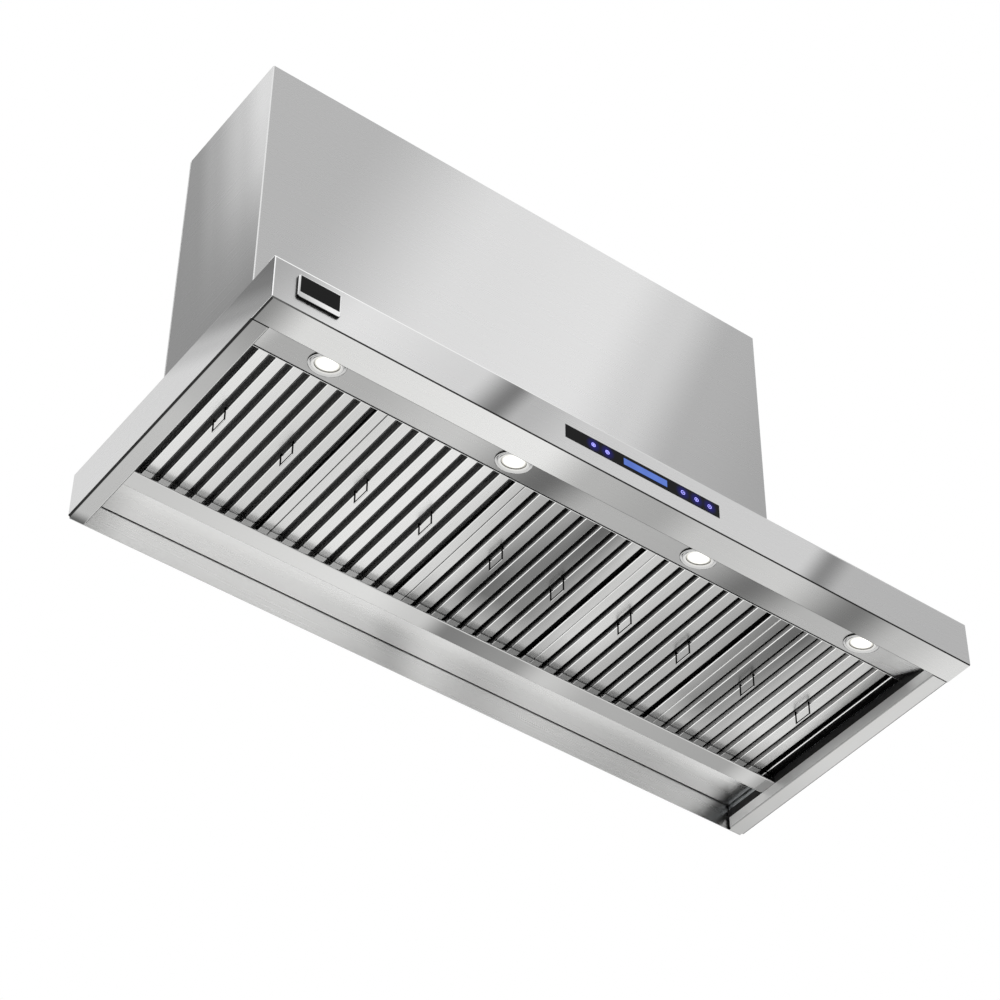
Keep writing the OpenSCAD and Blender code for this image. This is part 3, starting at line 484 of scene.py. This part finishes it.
# %% Walls of the slots
EARLY_WALL_PAINTED_SHADE = [(0.0, "F0"), (0.0012, "40"), (0.0022, "90"), (0.0034, "20"), (0.0045, "68"), (0.024, "6E")]
LATER_WALL_PAINTED_SHADE = [(0.0, "FF"), (0.0018, "E0"), (0.0036, "B8"), (0.0060, "58"), (0.0095, "48"), (0.0105, "08"),
               (0.024, "08")]
LAST_WALL_PAINTED_SHADE = [(0.0, "FF"), (0.0030, "D8"), (0.0095, "B8"), (0.0105, "08"), (0.024, "08")]
LAST_FILTER = [(0.427, "00"), (0.43, "FF")]
END_SLOT = (0.2535, 0.2670)
UNLIT_HEIGHTS = (0.0022, 0.05)


def slot_walls(tree, position, place, height, later):
    # Painted shade by height: light at the foot of the walls, darker higher up, and dark in the end slot.
    return layered(
        tree, tone_bands(tree, height, None, EARLY_WALL_PAINTED_SHADE, "LINEAR"),
        (later, tone_bands(tree, height, None, LATER_WALL_PAINTED_SHADE, "LINEAR")),
        (tone_bands(tree, position, RIGHT, LAST_FILTER, "LINEAR"),
         tone_bands(tree, height, None, LAST_WALL_PAINTED_SHADE, "LINEAR")),
        (where_all(tree, within(tree, place, *END_SLOT), within(tree, height, *UNLIT_HEIGHTS)),
         linear("#070707")))


print("slots", SLOT * 1000, "mm wide")

# %% [markdown]
# One finish serves all five filters, because it works out from its own place which filter and
# which part of a strip it is on. The lowest 2.4 mm, the front wall and the upper side are
# clean steel, and what lies between wears the film, which isn't metallic.

# %% Filter steel
UNDERSIDE = (-0.01, 0.0009)
CLEAN_HEIGHTS = (-0.01, 0.0024)
FRONT_WALL = [(-0.4934, "FF"), (-0.4930, "00")]
TWO_LEFT_FILTERS = [(-0.145, "FF"), (-0.14, "00")]
OTHER_FILTERS = [(-0.145, "00"), (-0.14, "FF")]


def filter_steel(name):
    material, tree = new_material(name)
    where = add(tree, "ShaderNodeTexCoord").outputs
    position, normal = where["Object"], where["Normal"]
    axes = add(tree, "ShaderNodeSeparateXYZ", {0: position}).outputs
    place = remainder(tree, axes["X"], FILTER_LEFT, FILTER_PITCH)
    across = remainder(tree, place, FILTER_EDGE, STRIP_PITCH)
    height = add(tree, "ShaderNodeMath", {0: axes["Z"], 1: FILTER_UNDER}, operation="SUBTRACT").outputs[0]
    early = tone_bands(tree, position, RIGHT, TWO_LEFT_FILTERS, "LINEAR")
    later = tone_bands(tree, position, RIGHT, OTHER_FILTERS, "LINEAR")
    underside = where_all(tree, facing(tree, normal, DOWN, 0.85, 0.96), within(tree, height, *UNDERSIDE))
    front_wall = tone_bands(tree, position, REAR, FRONT_WALL, "LINEAR")
    upper_side = facing(tree, normal, UP, 0.7, 0.9)
    colour = layered(
        tree, slot_walls(tree, position, place, height, later),
        (underside, strip_undersides(tree, position, across, early, later)),
        (front_wall, linear("#D6D6D6")),
        (upper_side, linear("#A4A4A2")))
    clean = where_any(tree, within(tree, height, *CLEAN_HEIGHTS), front_wall, upper_side)
    rough = add(tree, "ShaderNodeMapRange", {
        "Value": long_grain(tree, position, REAR), "To Min": 0.23, "To Max": 0.31}).outputs[0]
    surface(tree, {"Base Color": colour, "Metallic": clean, "Roughness": rough})
    return material


baffle_steel = filter_steel("brushed_stainless_baffle")
for number in range(1, 6):
    finish(baffle_steel, f"filter_{number}_frame", f"filter_{number}_baffles")

# %% [markdown]
# The handles are 3 mm stainless wire, drawn through a die, which leaves it smooth. A thin round
# wire mirrors the dark room at its sides and the pale floor only along its lowest line; both are
# painted in, a dark painted reflection on the sides and a light one along the lowest line.

# %% Handle wire
# A dark base with a painted light reflection on the downward side.
handle_steel = brushed_steel("drawn_stainless_wire", "#141414", [
    (DOWN, RIGHT, [(-0.7, "F4"), (0.7, "E4")]),
], roughness=0.2)
finish(handle_steel, *[f"filter_{number}_handles" for number in range(1, 6)])

# %% [markdown]
# ## Rear rail, pan and wall sheet
# The rail was left polished, so its front mirrors the baffles, and painted reflection bands are laid
# on its faces as well. The pan behind it and the wall sheet are satin, and their soft bands, painted
# reflections too, don't line up with the rail's.

# %% Rear finishes
# The tones of the rail, pan and wall sheet are painted reflection bands.
finish(brushed_steel("polished_stainless_rail", "#C8C8C8", [
    (FRONT, RIGHT, [(-0.72, "B8"), (0.72, "AC")]),
    (DOWN, RIGHT, [(-0.72, "C2"), (-0.22, "D8"), (-0.10, "C4"), (-0.04, "7A"), (0.10, "90"), (0.18, "C2"),
                   (0.29, "AA"), (0.60, "A0"), (0.66, "C8"), (0.70, "9C")]),
], roughness=0.08), "rear_rail")
finish(brushed_steel("brushed_stainless_pan", "#F0F0F0", [
    (DOWN, RIGHT, [(-0.72, "C4"), (-0.62, "DC"), (-0.18, "DE"), (-0.10, "D0"), (0.0, "DA"), (0.10, "CC"),
                   (0.24, "D8"), (0.47, "CA"), (0.66, "E0"), (0.70, "C8")]),
    (FRONT, RIGHT, [(-0.72, "C0"), (0.72, "B4")]),
], streaks=0.006), "rear_pan")
finish(brushed_steel("brushed_stainless_wall_sheet", "#BDBDBD", [
    (FRONT, RIGHT, [(-0.75, "D8"), (-0.62, "F4"), (-0.30, "F2"), (-0.14, "E6"), (-0.08, "D0"), (0.0, "F0"),
                    (0.12, "E0"), (0.24, "E8"), (0.66, "D6"), (0.70, "BC")]),
], streaks=0.006), "back_panel")

# %% [markdown]
# ## The upper box
# The box's front is one wide satin sheet with painted reflection bands: grey at both ends and
# light in the middle, leaning a little. The left face is painted dark at its foot, and higher up
# dark only towards the wall. The sheet is folded round the corners, so its grain runs level on
# all three faces.

# %% Box finish
LEANING = (1.0, 0.0, -0.38)
LOWER_PART = (UP, [(0.34, "FF"), (0.50, "D9"), (0.67, "7C"), (0.85, "00")])
# Painted reflection bands on the front, and painted dark tones on the left face.
finish(brushed_steel("brushed_stainless_box", "#E4E4E4", [
    (FRONT, LEANING, [(-0.90, "B4"), (-0.72, "B4"), (-0.38, "DC"), (-0.08, "E0"), (0.06, "CE"), (0.19, "AE"),
                      (0.45, "A2")]),
    (LEFT, (0, -1.0, 0.12), [(0.05, "74"), (0.14, "7C"), (0.20, "96"), (0.30, "BC"), (0.38, "D6")]),
    (LEFT, FRONT, [(0.0, "74"), (0.3, "74")], LOWER_PART),
    (RIGHT, FRONT, [(0.0, "9A"), (0.3, "C4")]),
    (REAR, RIGHT, [(-0.6, "9C"), (0.6, "A8")]),
], grain=(1, 1, 0)), "box_wrap")

# %% [markdown]
# ## Zinc-coated sheet inside and on top
# Hidden parts are hot-dip galvanised: the zinc freezes into flat crystals 5 to 15 mm wide that
# each reflect a little differently. Cells of a Voronoi pattern, 9 mm wide, give that look.

# %% Galvanised finish
SPANGLE = 0.009
galvanised, tree = new_material("hot_dip_galvanised_sheet")
position = add(tree, "ShaderNodeTexCoord").outputs["Object"]
crystals = add(tree, "ShaderNodeTexVoronoi", {"Vector": position, "Scale": 1 / SPANGLE})
spread = add(tree, "ShaderNodeSeparateColor", {0: crystals.outputs["Color"]}).outputs[0]
rough = add(tree, "ShaderNodeMapRange", {"Value": spread, "To Min": 0.32, "To Max": 0.5}).outputs[0]
surface(tree, {"Base Color": layered(tree, linear("#9DA2A5"), (spread, linear("#B9BDBF"))),
               "Metallic": 1.0, "Roughness": rough})
finish(galvanised, "canopy_top", "side_liners", "box_top", "wall_channels", "blower_rails",
       "junction_box", "junction_lid")
for side in ("left", "right"):
    finish(galvanised, f"{side}_duct_collar", f"{side}_damper_flap_inner", f"{side}_damper_flap_outer",
           f"{side}_riser_duct", f"{side}_blower_housing", f"{side}_blower_wheel")

# %% [markdown]
# ## Motors, brackets and rods
# The motors and their brackets are dipped in a dark baked enamel, which flows into a faint
# orange-peel surface with dimples about 2 mm apart. The rods are plain turned steel.

# %% Enamel and turned steel
PEEL = 0.002
TINTS_PER_METRE = 12.0
enamel, tree = new_material("baked_dark_enamel")
position = add(tree, "ShaderNodeTexCoord").outputs["Object"]
dimples = add(tree, "ShaderNodeTexNoise", {
    "Vector": position, "Scale": 1 / PEEL, "Detail": 1.0}).outputs["Fac"]
tint = add(tree, "ShaderNodeTexNoise", {
    "Vector": position, "Scale": TINTS_PER_METRE, "Detail": 2.0}).outputs["Fac"]
peel = add(tree, "ShaderNodeBump", {"Height": dimples, "Strength": 0.2, "Distance": 0.0002}).outputs[0]
surface(tree, {"Base Color": layered(tree, linear("#232326"), (tint, linear("#303033"))),
               "Roughness": 0.38, "Normal": peel})
finish(enamel, "left_blower_motor", "right_blower_motor", "motor_brackets")
finish(brushed_steel("turned_steel_rod", "#8E8E90", [], grain=FRONT, roughness=0.3), "damper_rods")

# %% [markdown]
# ## Rubber, moulding, board and castings
# The seals and the grommet are black EPDM rubber with a dull mineral bloom. The housing behind
# the glass is moulded ABS with a fine spark-eroded grain, here 0.8 mm wide. The board is glass
# fibre under green solder resist, and the lamp cans are die-cast aluminium. All four are two
# close tones and a bump from one noise, at the grain's own width.

# %% Small dull finishes
def speckled(name, dark, light, grain, roughness, metallic=0.0, bump=0.15, specular=0.5):
    material, tree = new_material(name)
    position = add(tree, "ShaderNodeTexCoord").outputs["Object"]
    grit = add(tree, "ShaderNodeTexNoise", {
        "Vector": position, "Scale": 1 / grain, "Detail": 2.0}).outputs["Fac"]
    raised = add(tree, "ShaderNodeBump", {"Height": grit, "Strength": bump, "Distance": 0.0003}).outputs[0]
    surface(tree, {"Base Color": layered(tree, linear(dark), (grit, linear(light))), "Metallic": metallic,
                   "Roughness": roughness, "Specular IOR Level": specular, "Normal": raised})
    return material


finish(speckled("black_epdm_rubber", "#050505", "#101010", 0.0015, 0.7), "side_seals", "cable_grommet")
finish(speckled("moulded_black_abs", "#121213", "#1B1B1C", 0.0008, 0.5), "control_housing")
finish(speckled("green_solder_resist", "#0C3B22", "#145232", 0.004, 0.3), "control_board")
finish(speckled("die_cast_aluminium", "#9C9D9F", "#B4B5B6", 0.0012, 0.45, 1.0), "lamp_cans", "lamp_driver")

# %% [markdown]
# ## Lamp bezels
# A spun steel bezel steps down to a frosted lens. Its inner steps have a painted glow, as if they
# caught some of the lamp's light, worked out from the distance to a lamp, and the bezel is painted
# dark outside its rim, as the shade at its seat. Spinning leaves fine rings that can't be told
# apart at this distance, so a noise 1 mm wide moves tone and roughness a little.

# %% Bezels
LAMP_PLACES = (-0.580, -0.201, 0.201, 0.580)
LENS_R = 0.0226
PAINTED_GLOW_R = (LENS_R - 0.001, 0.0285)
RIM_R = (0.0322, 0.0332)
LENS_SINK = 0.0003
TURNING = 0.001
PAINTED_GLOW_STRENGTH = 0.22
WARM_WHITE = "#FFFDF6"


def round_glow(tree, position, centres, near, far):
    """1 within near of any of the centres, falling softly to 0 at far."""
    falls = []
    for centre in centres:
        away = add(tree, "ShaderNodeVectorMath", {0: position, 1: centre},
                   operation="DISTANCE").outputs["Value"]
        falls.append(add(tree, "ShaderNodeMapRange", {
            "Value": away, "From Min": near, "From Max": far, "To Min": 1.0, "To Max": 0.0},
            interpolation_type="SMOOTHSTEP").outputs[0])
    return where_any(tree, *falls)


lens_low, lens_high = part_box("lamp_lenses")
lamp_y = (lens_low.y + lens_high.y) / 2
lamp_z = (lens_low.z + lens_high.z) / 2 + LENS_SINK
lamp_centres = [(x, lamp_y, lamp_z) for x in LAMP_PLACES]
bezel_steel, tree = new_material("spun_stainless_bezel")
position = add(tree, "ShaderNodeTexCoord").outputs["Object"]
lit = round_glow(tree, position, lamp_centres, *PAINTED_GLOW_R)
inside = round_glow(tree, position, lamp_centres, *RIM_R)
turned = add(tree, "ShaderNodeTexNoise", {
    "Vector": position, "Scale": 1 / TURNING, "Detail": 1.0}).outputs["Fac"]
satin = layered(tree, linear("#C2C2C2"), (turned, linear("#D0D0D0")))
rough = add(tree, "ShaderNodeMapRange", {"Value": turned, "To Min": 0.11, "To Max": 0.17}).outputs[0]
# Painted dark shade outside the rim, and a painted glow on the inner steps.
surface(tree, {"Base Color": layered(tree, linear("#181818"), (inside, satin)), "Metallic": 1.0,
               "Roughness": rough, "Emission Color": linear(WARM_WHITE),
               "Emission Strength": where_all(tree, lit, PAINTED_GLOW_STRENGTH)})
finish(bezel_steel, "lamp_bezels")

# %% [markdown]
# ## Lamp lenses
# The lens is opal polycarbonate, moulded with a fine frost, over a warm white diode. Its middle
# is brighter than its edge, so the light falls off towards the rim. Four lens objects share
# one mesh, and each shades itself from its own centre.

# %% Opal finish
FROST = 0.0015
BRIGHT_R = 0.012
MIDDLE_STRENGTH, EDGE_STRENGTH = 1.5, 0.10
lens_material, tree = new_material("opal_polycarbonate_lens")
centre = add(tree, "ShaderNodeTexCoord").outputs["Object"]
radius = add(tree, "ShaderNodeVectorMath", {0: centre}, operation="LENGTH").outputs["Value"]
fall = add(tree, "ShaderNodeMapRange", {
    "Value": radius, "From Min": BRIGHT_R, "From Max": LENS_R,
    "To Min": MIDDLE_STRENGTH, "To Max": EDGE_STRENGTH}, interpolation_type="SMOOTHSTEP").outputs[0]
frost = add(tree, "ShaderNodeTexNoise", {"Vector": centre, "Scale": 1 / FROST, "Detail": 1.0}).outputs["Fac"]
raised = add(tree, "ShaderNodeBump", {"Height": frost, "Strength": 0.1, "Distance": 0.0002}).outputs[0]
surface(tree, {"Base Color": linear("#D2D1CC"), "Roughness": 0.35, "Emission Color": linear(WARM_WHITE),
               "Emission Strength": fall, "Normal": raised})
print(lens_material.name, "falls off from", BRIGHT_R * 1000, "mm")

# %% [markdown]
# Lenses and screws are both turned shapes, so one function spins a profile, a list of radius
# and height, into a closed mesh. A radius of 0 makes a single point on the axis.

# %% A profile spun round Z
def spun(name, profile, steps=64):
    shape = bmesh.new()
    turns = [math.tau * k / steps for k in range(steps)]
    rings = []
    for r, z in profile:
        angles = turns if r else turns[:1]
        rings.append([shape.verts.new((r * math.cos(a), r * math.sin(a), z)) for a in angles])
    for inner, outer in zip(rings, rings[1:]):
        for k in range(steps):
            corners = [inner[k % len(inner)], inner[(k + 1) % len(inner)],
                       outer[(k + 1) % len(outer)], outer[k % len(outer)]]
            unique = list(dict.fromkeys(corners))
            if len(unique) > 2:
                shape.faces.new(unique)
    mesh = to_mesh(shape, name)
    for face in mesh.polygons:
        face.use_smooth = True
    return mesh


def to_mesh(shape, name):
    bmesh.ops.recalc_face_normals(shape, faces=shape.faces)
    mesh = bpy.data.meshes.new(name)
    shape.to_mesh(mesh)
    shape.free()
    return mesh


def on_hood(name, mesh, place=Matrix.Identity(4)):
    """An object with the mesh, put in its place first and then made to ride on the hood."""
    piece = bpy.data.objects.new(name, mesh)
    bpy.context.scene.collection.objects.link(piece)
    piece.matrix_world = place
    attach(piece, "hood")
    return piece


print("helpers: spun, to_mesh, on_hood")

# %% [markdown]
# The lens is a shallow dome: its middle stands 1.4 mm lower than its edge. It lies square to
# the sloping light panel, so it is turned by the panel's slope.

# %% Four lenses
PANEL_RISE, PANEL_RUN = 0.018, 0.0795
LAMP_TILT = math.atan2(PANEL_RISE, PANEL_RUN)
DOME, LENS_LOW, LENS_TOP, DOME_STEPS = 0.0014, -0.0012, 0.0006, 8
lens_profile = [(0, LENS_LOW)]
for k in range(1, DOME_STEPS + 1):
    lens_profile.append((LENS_R * k / DOME_STEPS, LENS_LOW + DOME * (k / DOME_STEPS) ** 2))
lens_profile += [(LENS_R, LENS_TOP), (0, LENS_TOP)]
lens_mesh = spun("opal_lens", lens_profile)
lens_mesh.materials.append(lens_material)
for number, lamp_centre in enumerate(lamp_centres, 1):
    stance = Matrix.Translation(lamp_centre) @ Matrix.Rotation(LAMP_TILT, 4, "X")
    lens = on_hood(f"lamp_lens_{number}", lens_mesh, stance)
    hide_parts("lamp_lenses")
print("lenses at y", round(lamp_y, 4), "z", round(lamp_z, 4))

# %% [markdown]
# ## Touch glass
# The panel is black-printed glass. Its keys are windows in the print, lit from behind in blue,
# and the light spread in the glass round each key is a painted glow, worked out from the
# distance to each key's centre. Fingers leave smears a few centimetres wide, which show as a
# change of gloss.

# %% Glass with a glow round each key
GLASS_X = 0.334
KEY_SHARES = (-0.323, -0.234, 0.257, 0.347, 0.434)
KEY_Z = -0.048
KEY_GLOW_R = (0.003, 0.0175)
KEY_GLOW = 0.20
SMEAR = 0.025
GLASS_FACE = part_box("control_glass")[0].y
glass, tree = new_material("black_printed_touch_glass")
position = add(tree, "ShaderNodeTexCoord").outputs["Object"]
key_places = [(GLASS_X * share, GLASS_FACE, KEY_Z) for share in KEY_SHARES]
# A painted blue glow round each key.
glow = where_all(tree, round_glow(tree, position, key_places, *KEY_GLOW_R), KEY_GLOW)
smears = add(tree, "ShaderNodeTexNoise", {
    "Vector": position, "Scale": 1 / SMEAR, "Detail": 2.0}).outputs["Fac"]
rough = add(tree, "ShaderNodeMapRange", {"Value": smears, "To Min": 0.06, "To Max": 0.16}).outputs[0]
surface(tree, {"Base Color": linear("#060607"), "Specular IOR Level": 0.06, "Roughness": rough,
               "Emission Color": linear("#2A20D0"), "Emission Strength": glow})
finish(glass, "control_glass")

# %% [markdown]
# The display is a liquid crystal panel with a blue light behind it, which is a little cloudy.
# A wave node repeats every 0.314 m divided by its scale, so its rows are 2.4 mm apart here. Real
# rows of dots are finer, and wouldn't show.

# %% Display
ROW_SCALE = 130.0
CLOUDS_PER_METRE = 30.0
ROW_SHARE = 0.12
screen, tree = new_material("blue_backlit_display")
position = add(tree, "ShaderNodeTexCoord").outputs["Object"]
cloud = add(tree, "ShaderNodeTexNoise", {
    "Vector": position, "Scale": CLOUDS_PER_METRE, "Detail": 1.0}).outputs["Fac"]
rows = add(tree, "ShaderNodeTexWave", {"Vector": position, "Scale": ROW_SCALE},
           bands_direction="Z").outputs["Fac"]
lines = layered(tree, linear("#1B3F96"), (rows, linear("#6D97EC")))
colour = layered(tree, linear("#2A57C0"), (cloud, linear("#4F7EE2")), (ROW_SHARE, lines))
surface(tree, {"Base Color": linear("#0A1430"), "Roughness": 0.2, "Emission Color": colour,
               "Emission Strength": 0.80})
finish(screen, "display")

# %% [markdown]
# ## Key signs
# The signs are plain everyday symbols: a lamp, a power sign, less, more and a clock. Each is
# drawn as strokes in a ring. A stroke is a list of points, and an arc is worked out from its
# centre, its radius and two angles.

# %% Strokes of the signs
def arc(x, z, r, start, end, steps=28):
    turns = [math.radians(start + (end - start) * k / steps) for k in range(steps + 1)]
    return [(x + r * math.cos(turn), z + r * math.sin(turn)) for turn in turns]


def key_strokes(kind, x, z, r):
    strokes = [arc(x, z, r, 0, 360)]
    if kind == "lamp":
        strokes += [arc(x, z, r * 0.3, 0, 360)]
        strokes += [arc(x, z, r * 0.62, a - 4, a + 4, 2) for a in range(0, 360, 45)]
    if kind == "power":
        strokes += [arc(x, z, r * 0.5, 125, 415), [(x, z + r * 0.65), (x, z + r * 0.1)]]
    if kind in ("less", "more"):
        strokes += [[(x - r * 0.5, z), (x + r * 0.5, z)]]
    if kind == "more":
        strokes += [[(x, z - r * 0.5), (x, z + r * 0.5)]]
    if kind == "clock":
        strokes += [[(x, z + r * 0.6), (x, z), (x + r * 0.45, z - r * 0.2)]]
    return strokes


print("a power sign has", len(key_strokes("power", 0, 0, 1)), "strokes")

# %% [markdown]
# Strokes become flat ribbons on the glass, which keeps small signs crisp. The print lets the
# blue light through unevenly, so its colour flickers a little from place to place.

# %% Lit signs
KEY_R = 0.0040
STROKE = 0.0009
FLICKER = 0.0025
key_light, tree = new_material("blue_backlit_print")
position = add(tree, "ShaderNodeTexCoord").outputs["Object"]
flicker = add(tree, "ShaderNodeTexNoise", {"Vector": position, "Scale": 1 / FLICKER}).outputs["Fac"]
surface(tree, {"Base Color": linear("#1010A0"), "Roughness": 0.3, "Emission Strength": 1.4,
               "Emission Color": layered(tree, linear("#8E86FF"), (flicker, linear("#D2D0FF")))})


def ribbon(shape, points, width, face_y, depth=0.0003):
    for (x0, z0), (x1, z1) in zip(points, points[1:]):
        side = Vector((z0 - z1, x1 - x0)).normalized() * width / 2
        corners = [(x0 + side.x, z0 + side.y), (x1 + side.x, z1 + side.y),
                   (x1 - side.x, z1 - side.y), (x0 - side.x, z0 - side.y)]
        front = [shape.verts.new((x, face_y - depth, z)) for x, z in corners]
        back = [shape.verts.new((x, face_y, z)) for x, z in corners]
        shape.faces.new(front)
        shape.faces.new(back[::-1])
        for k in range(4):
            shape.faces.new((front[k], back[k], back[(k + 1) % 4], front[(k + 1) % 4]))


shape = bmesh.new()
for share, kind in zip(KEY_SHARES, ("lamp", "power", "less", "more", "clock")):
    for stroke in key_strokes(kind, GLASS_X * share, KEY_Z, KEY_R):
        ribbon(shape, stroke, STROKE, GLASS_FACE)
key_mesh = to_mesh(shape, "key_signs")
key_mesh.materials.append(key_light)
keys = on_hood("key_signs", key_mesh)
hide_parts("touch_rings")
print("key signs:", len(key_mesh.polygons), "faces")

# %% [markdown]
# ## Badge, left bare
# A chromed casting with rounded corners stands proud of the fascia, and a black plate is glued
# on it above a bare silver strip. The casting's walls are black lacquered too, which paints in
# their shade. The outline is drawn as a rounded rectangle and raised in three rings: the wall, a
# small bevel and the face. The walls take a second material. Nothing is written on the badge.

# %% A raised plate
def rounded_outline(x0, z0, x1, z1, r, steps=8):
    corners = ((x1 - r, z1 - r, 0), (x0 + r, z1 - r, 90), (x0 + r, z0 + r, 180), (x1 - r, z0 + r, 270))
    points = []
    for x, z, start in corners:
        points += arc(x, z, r, start, start + 90, steps)
    return points


def raised_plate(name, low, high, corner, back, front, bevel):
    """A closed plate with rounded corners and a bevelled front edge; low and high are (x, z)."""
    shape = bmesh.new()
    rings = []
    for y, shrink in ((back, 0.0), (front + bevel, 0.0), (front, bevel)):
        outline = rounded_outline(low[0] + shrink, low[1] + shrink, high[0] - shrink, high[1] - shrink,
                                  corner - shrink)
        rings.append([shape.verts.new((x, y, z)) for x, z in outline])
    count = len(rings[0])
    for near, far in zip(rings, rings[1:]):
        for k in range(count):
            shape.faces.new((near[k], near[(k + 1) % count], far[(k + 1) % count], far[k]))
    shape.faces.new(rings[0])
    shape.faces.new(rings[-1])
    mesh = to_mesh(shape, name)
    for face in mesh.polygons:
        face.material_index = int(abs(face.normal.y) < 0.5)
    return mesh


print("a plate's outline has", len(rounded_outline(0, 0, 1, 1, 0.1)), "points")

# %% [markdown]
# The casting is zinc, plated with bright chrome that is a little satin, on a dark base with
# painted reflections and painted highlights along its bevels. The black lacquered coat on the plate
# is nearly black and mirrors little; on the walls it is painted shade.

# %% Badge
BADGE_LOW, BADGE_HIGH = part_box("badge_frame")
BADGE_BACK = BADGE_HIGH.y
BADGE_PROUD = 0.0046
BADGE_FRONT = BADGE_BACK - BADGE_PROUD
BADGE_CORNER, BADGE_BEVEL = 0.005, 0.0006
LEFT_BORDER, STRIP_BORDER, RIGHT_BORDER, TOP_BORDER = 0.0040, 0.0125, 0.0024, 0.0018
PLATE_CORNER, PLATE_BEVEL = 0.0008, 0.0001
PLATE_SINK, PLATE_PROUD = 0.0002, 0.0003

# Painted reflections on the face and painted highlights on the bevels.
chrome = brushed_steel("chromed_zinc_casting", "#343434", [
    (FRONT, (1, 0, 1), [(-0.78, "BE"), (-0.70, "F0"), (-0.64, "FF")]),
    ((-1, -1, 0), UP, [(-0.08, "FF"), (-0.01, "FF")]),
    ((0, -1, 1), RIGHT, [(-0.71, "FF"), (-0.62, "FF")]),
], roughness=0.22)
# The plate's black coat, also used on the casting's walls as painted shade.
lacquer_and_wall_shade = speckled("black_lacquer_and_wall_shade", "#070707", "#0E0E0E", 0.001, 0.3, bump=0.05, specular=0.06)
casting_mesh = raised_plate("badge_casting", (BADGE_LOW.x, BADGE_LOW.z), (BADGE_HIGH.x, BADGE_HIGH.z),
                            BADGE_CORNER, BADGE_BACK, BADGE_FRONT, BADGE_BEVEL)
casting_mesh.materials.append(chrome)
casting_mesh.materials.append(lacquer_and_wall_shade)
casting = on_hood("badge_casting", casting_mesh)
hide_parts("badge_frame")
face_mesh = raised_plate("badge_bare_face", (BADGE_LOW.x + LEFT_BORDER, BADGE_LOW.z + STRIP_BORDER),
                         (BADGE_HIGH.x - RIGHT_BORDER, BADGE_HIGH.z - TOP_BORDER),
                         PLATE_CORNER, BADGE_FRONT + PLATE_SINK, BADGE_FRONT - PLATE_PROUD, PLATE_BEVEL)
face_mesh.materials.append(lacquer_and_wall_shade)
face_mesh.materials.append(lacquer_and_wall_shade)
face = on_hood("badge_bare_face", face_mesh)
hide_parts("badge_plate")
print("badge stands", BADGE_PROUD * 1000, "mm proud")

# %% [markdown]
# ## Screws
# Each duct collar is held by six small pan-head screws with a round recess, of zinc-plated
# steel. One mesh, spun from a profile, serves all of them.

# %% Collar screws
COLLAR_PLACES = (("left", -0.3), ("right", 0.3))
COLLAR_Y = -0.15
SCREW_CIRCLE = 0.109
SCREW_SEAT = 0.9492
SCREWS = 6
SCREW_PROFILE = [(0, -0.001), (0.0019, -0.001), (0.0019, 0.0), (0.0040, 0.0), (0.0040, 0.0010),
                 (0.0032, 0.0020), (0.0012, 0.0023), (0.0010, 0.0010), (0, 0.0008)]
screw_mesh = spun("pan_head_screw", SCREW_PROFILE, 24)
screw_mesh.materials.append(brushed_steel("zinc_plated_screw", "#A9ABAE", [], roughness=0.25))
for side, x in COLLAR_PLACES:
    for k in range(SCREWS):
        angle = math.radians((k + 0.5) * 360 / SCREWS)
        seat = (x + SCREW_CIRCLE * math.cos(angle), COLLAR_Y + SCREW_CIRCLE * math.sin(angle), SCREW_SEAT)
        on_hood(f"{side}_collar_screw_{k + 1}", screw_mesh, Matrix.Translation(seat))
print(len(COLLAR_PLACES) * SCREWS, "collar screws")
